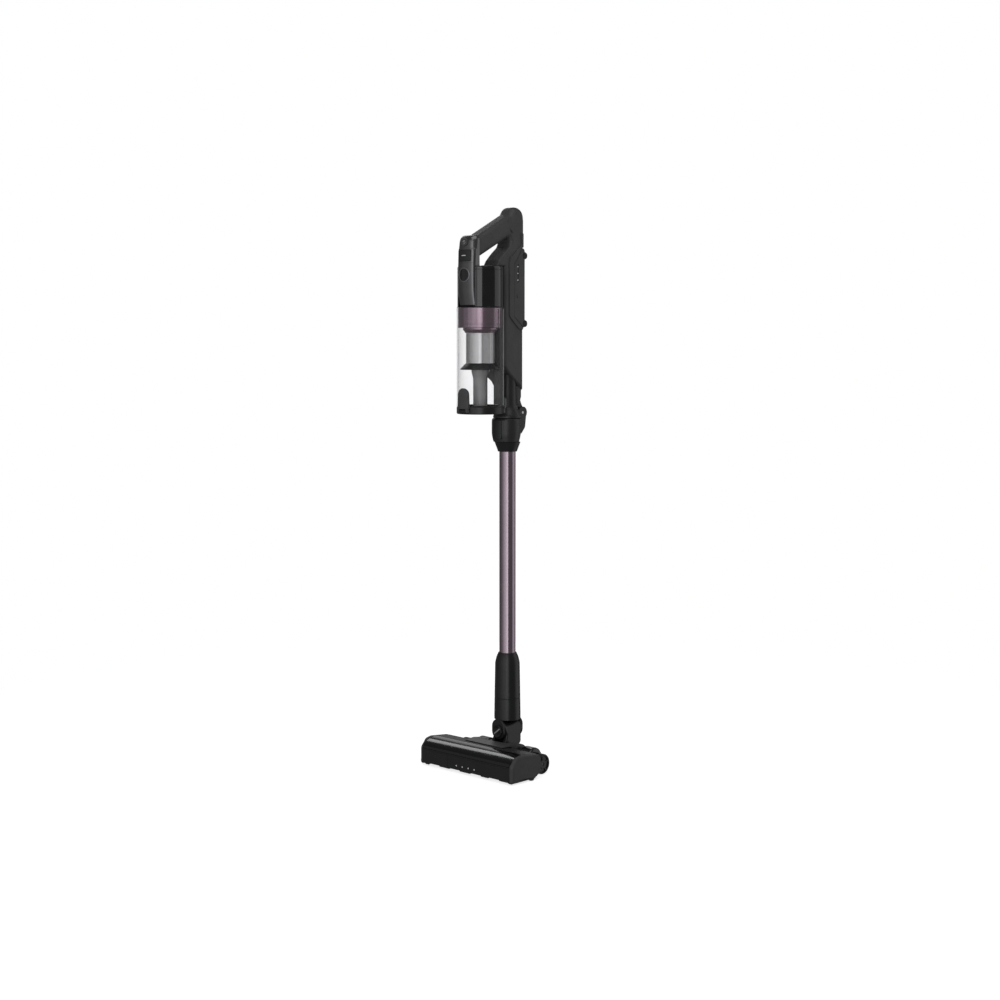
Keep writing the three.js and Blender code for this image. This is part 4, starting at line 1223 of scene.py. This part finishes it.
@dataclass
class Battery:
    """The pack in the rear post with its lights, port and two rubber bars."""

    half: float = 20.0
    front: float = -3.0
    rear: float = 29.0
    low: float = 863.0
    high: float = 1017.5
    bars: tuple[float, ...] = (1003, 871)
    bar_y: float = 29.5
    lights: tuple[float, ...] = (955, 968, 981)
    light_y: float = 9.0
    port: Point = (8.5, 924.0)

    def case(self) -> None:
        """Case with seats for its rubber bars, a room for the cells, a slot for the lights and a
        charging port.
        """
        corners = [(self.front, 985, 2), (20, self.high, 2), (self.rear, self.high, 6.5),
                   (self.rear, self.low, 4), (24, self.low), (self.front, 884, 2)]
        body = slab("battery case", filleted(corners), Axis.X, -self.half, self.half, 2, 4)
        seats = [bar("seat", Axis.X, (0, self.bar_y, z), 7.3, -30, 30) for z in self.bars]
        cells = box("cell room", (-17.2, -0.6, 889), (17.2, 22, 986))
        body = cut(body, *seats, cells)
        slot = slab("slot", oblong((6.6, 950.5), (11.4, 985.5), 2), Axis.X, 16.5, 22)
        port = bar("port", Axis.X, (0, *self.port), 3, 15, 21)
        body = cut(body, slot, port)
        fitted(softened(body, 0.4, 2, 40), MATT, "battery", ["battery_case"])
        ring = turned("port ring", [(1.6, 19.2), (2.9, 19.2), (2.9, 20.1), (2.5, 20.3), (1.6, 20.0)],
                      Axis.X, (0, *self.port), 40)
        fitted(ring, TRIM, "battery")

    def small_parts(self) -> None:
        """Lights in their bezel, two rubber bars and the cells."""
        bezel = slab("light bezel", oblong((6.9, 951), (11.1, 985), 1.8), Axis.X, 16.6, 19.3)
        holes = [bar("hole", Axis.X, (0, self.light_y, z), 1.6, 16, 20,
                     segments=32) for z in self.lights]
        lenses = [turned("lens", [(0, 17), (1.3, 17), (1.3, 19.1), (1.0, 19.5), (0, 19.6)], Axis.X,
                         (0, self.light_y, z), 32) for z in self.lights]
        fitted(cut(bezel, *holes), GRAPHITE, "battery")
        fitted(joined(box("battery lights", (16.0, 7.3, 951.5), (16.5, 10.7, 984.5)), *lenses), LIGHT,
               "battery", ["battery_leds"])
        h = self.half
        for z, node in zip(self.bars, ("bumper_bar_top", "bumper_bar_bottom")):
            profile = [(0, -h), (5.2, -h), (6.5, -h + 0.6), (7, -h + 1.8), (7, h - 1.8), (6.5, h - 0.6),
                       (5.2, h), (0, h)]
            fitted(turned(node.replace("_", " "), profile, Axis.X, (0, self.bar_y, z)), RUBBER,
                   "battery", [node])
        dressed("battery_cells", CELLS)

    def build(self) -> None:
        """Builds the battery."""
        self.case()
        self.small_parts()


@dataclass
class Body:
    """The handheld unit: inlet, spine, handle, nose and motor."""

    half: float = 20.0
    rear: float = 29.0
    front: float = -29.0
    spine: float = 24.0
    top: float = 1096.0
    nose_back: float = -101.5
    nose_half: float = 22.0
    bow: float = 4.0
    cup_y: float = -77.0
    hinge: Point = (27.0, 697.0)
    parting: float = 0.12
    screws: tuple[Point, ...] = ((8, 1060), (2, 845), (6, 780))
    power_z: float = 1024.0
    disc_z: float = 962.0
    outline: list[Corner] = field(default_factory=list)

    def __post_init__(self) -> None:
        """Works out the side outline of spine, post, handle and shoulder."""
        back = self.nose_back + 0.3
        self.outline = [(back, 1034), (-9, 1081.5, 8), (0, self.top, 16), (self.rear, self.top, 19),
                        (self.rear, 1018.1), (19.6, 1018.1), (-3.6, 985.2), (-3.6, 883.8),
                        (23.4, 862.4), (self.spine, 860), (self.spine, 741.5), (-20, 776.5),
                        (self.front, 788, 8), (self.front, 980), (-51, 980), (-43.5, 992, 12),
                        (-28, 1007), (-13, 1019, 12), (-8, 1040, 6), (back, 993)]

    def inlet(self) -> None:
        """Suction duct with a flared foot and the middle knuckle of the fold hinge."""
        profile = [(0, 686.6), (27.2, 686.6), (28, 687.4), (28.3, 690), (27.4, 693), (24, 699.4),
                   (20.6, 705), (18.6, 710), (17.4, 716), (17.2, 720), (17.2, 790), (0, 790)]
        body = turned("inlet duct", profile)
        for side in (-1, 1):
            low, high = span(side, 9.6, 17)
            room = joined(bar("room", Axis.X, (0, *self.hinge), 12, low, high),
                          box("gap", (low, 7, 680), (high, 45, 703)))
            body = cut(body, room)
        rib = slab("rib", filleted([(10, 700), (27, 697), (35.5, 704.5), (29.5, 714, 3), (23.6, 728, 8),
                                    (23.2, 740), (10, 740)]), Axis.X, -9.4, 9.4)
        yoke = slab("yoke", filleted([(10, 712), (18, 712, 3), (23.4, 728, 4), (23.6, 750), (10, 750)]),
                    Axis.X, -15.5, 15.5, 2)
        body = joined(body, rib, yoke, bar("knuckle", Axis.X, (0, *self.hinge), 11.2, -9.4, 9.4))
        under = cut(box("under", (-9.6, 10, 680), (9.6, 45, 686.3)),
                    bar("keep", Axis.X, (0, *self.hinge), 11.5, -10, 10))
        body = cut(body, bar("bore", Axis.Z, (0, 0, 0), 15, 680, 795),
                   bar("pin bore", Axis.X, (0, *self.hinge), 3.1, -20, 20), under)
        fitted(softened(body, 0.5, 3, 40), GRAPHITE, "handheld", ["inlet_knuckle"])

    def rim(self, place: Vector) -> float:
        """Radius of the shell's edge at a place: large on grip and crown, small on the spine."""
        grip = place.z > 987 + (place.y - self.nose_back) * 0.505 and place.y < -8
        if grip and place.y < self.nose_back + 1:
            return 0.6
        if grip:
            return 13
        return 5 + 8 * min(max((place.z - 1020) / 40, 0), 1)

    def surround(self) -> None:
        """Raised frame round the battery's bay, on both sides."""
        corners = [(17, 1046, 2), (18.2, 1024, 6), (-15, 996, 8), (-17, 985, 6), (-17, 884, 10),
                   (9, 861, 6), (18.6, 857.5, 1), (22.6, 861.9), (-3.9, 883.6), (-3.9, 985.4),
                   (19.3, 1018.5), (23, 1018.5), (23, 1046, 2)]
        plate = slab("right battery surround", filleted(corners), Axis.X, 18.8, 22)
        fitted_pair(softened(plate, 1.3, 4, 60), MATT, "handheld")

    def shells(self) -> None:
        """Two halves of the moulded body, with a fine parting line and three screws on the left."""
        whole = rolled(slab("right body shell", filleted(self.outline, 8), Axis.X, -self.half,
                            self.half), self.rim, 8)
        duct = bar("duct", Axis.Z, (0, 0, 0), 17.7, 730, 792)
        whole = cut(whole, duct)
        left = copied(whole, "left body shell")
        for half, side in ((whole, 1), (left, -1)):
            with editing(half):
                bpy.ops.mesh.bisect(plane_co=(side * self.parting, 0, 0), plane_no=(side, 0, 0),
                                    use_fill=True, clear_inner=True)
        wells = [bar("screw well", Axis.X, (0, *place), 3.2, -21, -16.5,
                     segments=48) for place in self.screws]
        left = cut(left, *wells)
        fitted(softened(whole, 0.25, 2, 60), MATT, "handheld", ["body_shell_right"])
        fitted(softened(left, 0.25, 2, 60), MATT, "handheld", ["body_shell_left"])
        for k, (y, z) in enumerate(self.screws):
            head = bar(f"body screw {k + 1}", Axis.X, (0, y, z), 2.9, -17.8, -16.6, 0.3, 48)
            slots = [box("slot", (-18.2, y - 1.9, z - 0.4), (-17.2, y + 1.9, z + 0.4)),
                     box("slot", (-18.2, y - 0.4, z - 1.9), (-17.2, y + 0.4, z + 1.9))]
            fitted(cut(head, *slots), STEEL, "handheld")

    def bowed(self, piece: bpy.types.Object) -> bpy.types.Object:
        """Bows a piece of the nose back towards both sides."""
        with editing(piece):
            for k in range(-9, 10):
                bpy.ops.mesh.select_all(action="SELECT")
                bpy.ops.mesh.bisect(plane_co=(k * self.nose_half / 10, 0, 0), plane_no=(1, 0, 0))
        for vertex in piece.data.vertices:
            depth = min(max((self.nose_back - 4 - vertex.co.y) / 8, 0), 1)
            vertex.co.y += self.bow * depth * (vertex.co.x / self.nose_half) ** 2
        return piece

    def nose_rim(self, place: Vector) -> float:
        """Radius of the nose's rounded edge at a place: larger towards its domed top."""
        return 5.5 + 6 * min(max((place.z - 1005) / 20, 0), 1)

    def nose(self) -> None:
        """Bowed front fascia with two switch pockets, two seams and a plain disc in a plain ring."""
        back, low, high = self.nose_back, 901.8, 1037.5
        outline = filleted([(back + 30, low), (-116.5, low, 5), (-121.6, 930, 60), (-122.3, 965, 100),
                            (-121, 1010, 60), (-118, high, 13.5), (back + 30, high)], 8)
        body = rolled(slab("nose", outline, Axis.X, -self.nose_half, self.nose_half), self.nose_rim, 8)
        body = cut(body, box("behind", (-30, back, low - 5), (30, back + 40, high + 5)))
        power = bar("power well", Axis.Y, (0, 0, self.power_z), 8.3, -130, -114)
        mode = slab("mode well", oblong((-16.4, 987.5), (16.4, 1009.5), 2), Axis.Y, -130, -114)
        seams = [box("seam", (-23, -130, z - 0.25), (23, -119.6, z + 0.25)) for z in (984.5, 1012.5)]
        room = box("board room", (-17, -113.9, 975), (17, -106, 1031))
        body = self.bowed(cut(body, power, mode, *seams, room))
        fitted(softened(body, 0.35, 2, 40), NOSE, "handheld", ["nose_shell"])
        ring = turned("nose ring", [(11.6, -121.0), (11.8, -122.9), (12.4, -123.2), (13.4, -123.2),
                                    (14, -122.9), (14.2, -121.0)], Axis.Y, (0, 0, self.disc_z), 96)
        fitted(self.bowed(ring), TRIM, "handheld")
        disc = turned("nose disc", [(0, -121), (11.3, -121), (11.3, -122.4), (10.8, -122.7),
                                    (0, -122.75)], Axis.Y, (0, 0, self.disc_z))
        fitted(self.bowed(disc), GLOSS, "handheld")

    def switches(self) -> None:
        """Power button with a dished face, and the mode rocker with a light dash."""
        button = turned("power button", [(0, -113), (3, -113), (3, -117.6), (8, -117.6), (8, -121.2),
                                         (7.5, -121.8), (6.6, -121.9), (5.6, -121.4), (0, -121.1)],
                        Axis.Y, (0, 0, self.power_z))
        fitted(button, SMOKE_GREY, "power", ["power_button"])
        mark = turned("power mark", [(2.2, -121.0), (2.2, -121.4), (2.8, -121.4), (2.8, -121.0)],
                      Axis.Y, (0, 0, self.power_z), 48)
        fitted(mark, LIGHT, "power")
        plate = slab("mode rocker", oblong((-16, 988), (16, 1009), 2), Axis.Y, -122.6, -118.4, 0.8, 4)
        stem = bar("stem", Axis.Y, (0, 0, 998.5), 3, -119, -113)
        fitted(joined(self.bowed(plate), stem), GRAPHITE, "mode", ["mode_button"])
        dash = box("mode dash", (-5, -122.75, 997.8), (5, -122.2, 999.2), 0.2)
        fitted(dash, LIGHT, "mode")

    def motor(self) -> None:
        """Motor housing with a groove under its rounded top, the cup's gasket and inner pieces."""
        r, low, high = 44.0, 901.8, 979.5
        profile = [(0, high - 2.5), (r - 2.5, high - 2.5), (r - 2.5, low), (r - 0.4, low),
                   (r, low + 0.4), (r, high - 8), (r - 0.5, high - 7.6), (r - 0.5, high - 6.9),
                   (r, high - 6.5), (r, high - 3), (r - 0.9, high - 0.9), (r - 3, high), (0, high)]
        pot = turned("motor housing", profile, centre=(0, self.cup_y, 0), segments=160)
        nose_room = box("nose room", (-22.4, -140, 880), (22.4, self.nose_back + 0.3, 1000))
        fitted(cut(pot, nose_room), GLOSS, "handheld", ["motor_housing"], 25)
        gasket = turned("cup gasket", [(37, 901.1), (37.4, 900.9), (44.4, 900.9), (44.8, 901.2),
                                       (44.4, 901.7), (37.4, 901.7)], centre=(0, self.cup_y, 0),
                        segments=128)
        fitted(gasket, RUBBER, "handheld")
        for node, finish in (("control_board", BOARD), ("pre_motor_filter", PAPER),
                             ("fan_stator", STEEL), ("fan_rotor", STEEL)):
            dressed(node, finish)

    def build(self) -> None:
        """Builds the handheld body."""
        for step in (self.inlet, self.shells, self.surround, self.nose, self.switches, self.motor):
            step()


# ---------------------------------------------------------------- studio
@dataclass
class Studio:
    """Pale floor, white surroundings, tall soft lights and the camera."""

    azimuth: float = 43.034
    distance: float = 3.3008
    height: float = 0.833
    pitch: float = 3.63
    side: float = -0.0147
    lens: float = 60.72
    shift: float = -0.05
    floor_radius: float = 1.4
    fill: float = 0.12
    aim: float = 0.85

    def floor(self) -> None:
        """Plain pale floor."""
        deselect_all()
        bpy.ops.mesh.primitive_circle_add(vertices=128, radius=self.floor_radius, fill_type="NGON")
        floor = bpy.context.object
        floor.name = "studio_floor"
        recipe = Recipe("studio floor")
        white = recipe.mix(recipe.noise(3, 2), (0.93, 0.93, 0.93), (0.96, 0.96, 0.96))
        recipe.surface(Base_Color=white, Roughness=0.9, Emission_Color=white, Emission_Strength=0.8)
        floor.data.materials.append(recipe.material)
        floor.visible_glossy = False
        floor.visible_diffuse = False

    def surroundings(self) -> None:
        """White behind the object and a dimmer fill round it."""
        world = bpy.data.worlds.new("studio")
        bpy.context.scene.world = world
        recipe = Recipe("studio", world)
        fill, white = (recipe.add("ShaderNodeBackground", {}, {0: (1, 1, 1, 1), 1: strength}).outputs[0]
                       for strength in (self.fill, 1.0))
        seen = recipe.add("ShaderNodeLightPath").outputs["Is Camera Ray"]
        recipe.show(recipe.add("ShaderNodeMixShader", {}, {0: seen, 1: fill, 2: white}))

    def softbox(self, name: str, turn: float, distance: float, height: float, size: Point,
                power: float) -> None:
        """A soft light that faces the machine.

        Args:
            name: The light's name.
            turn: Degrees to the right of the camera, as seen from the machine.
            distance: Metres from the machine.
            height: Height of its middle in metres.
            size: Width and height in metres.
            power: Watts.
        """
        lamp = bpy.data.lights.new(name, "AREA")
        lamp.shape = "RECTANGLE"
        lamp.size, lamp.size_y = size
        lamp.energy = power
        holder = bpy.data.objects.new(name, lamp)
        bpy.context.collection.objects.link(holder)
        angle = math.radians(self.azimuth + turn)
        holder.location = (math.sin(angle) * distance, -math.cos(angle) * distance, height)
        holder.visible_camera = False
        aim = Vector((0, 0, self.aim)) - holder.location
        holder.rotation_euler = aim.to_track_quat("-Z", "Y").to_euler()

    def camera(self) -> None:
        """Camera on the right front, level with the cup and tipped slightly down."""
        data = bpy.data.cameras.new("camera")
        data.lens = self.lens
        data.sensor_width = 36
        data.shift_y = self.shift
        camera = bpy.data.objects.new("camera", data)
        bpy.context.collection.objects.link(camera)
        a = math.radians(self.azimuth)
        middle = Vector((0, WAND_Y * MM, 0))
        right = Vector((math.cos(a), math.sin(a), 0))
        back = Vector((math.sin(a), -math.cos(a), 0))
        camera.location = middle + back * self.distance + right * self.side + Vector((0, 0,
                                                                                      self.height))
        camera.rotation_euler = Euler((math.radians(90 - self.pitch), 0, a))
        bpy.context.scene.camera = camera

    def build(self) -> None:
        """Builds the studio."""
        self.floor()
        self.surroundings()
        for name, turn, distance, height, size, power in (
                ("key", -3, 3.4, self.aim, (1.45, 3.7), 22),
                ("key left", -29, 3.4, self.aim, (1.45, 3.7), 12),
                ("far left", -53, 3.4, self.aim, (1.45, 3.7), 6.5),
                ("left", -80, 3.4, self.aim, (1.6, 3.7), 2.6),
                ("side", 100, 2.6, self.aim, (2.1, 3.7), 11),
                ("back", -163, 3.0, 2.5, (1.8, 0.7), 8),
                ("rim", 180, 3.0, 1.05, (3.4, 1.0), 5),
                ("top", 10, 1.0, 3.2, (2.4, 2.4), 16)):
            self.softbox(name, turn, distance, height, size, power)
        self.camera()
        bpy.context.scene.view_settings.view_transform = "Standard"


def main() -> None:
    """Builds every sub-assembly in order."""
    logging.basicConfig(level=logging.INFO, format="%(message)s")
    for part in (FloorHead(), Neck(), Wand(), DustCup(), Battery(), Body(), Studio()):
        part.build()
        log.info("%s is done", type(part).__name__)


if __name__ == "__main__":
    main()
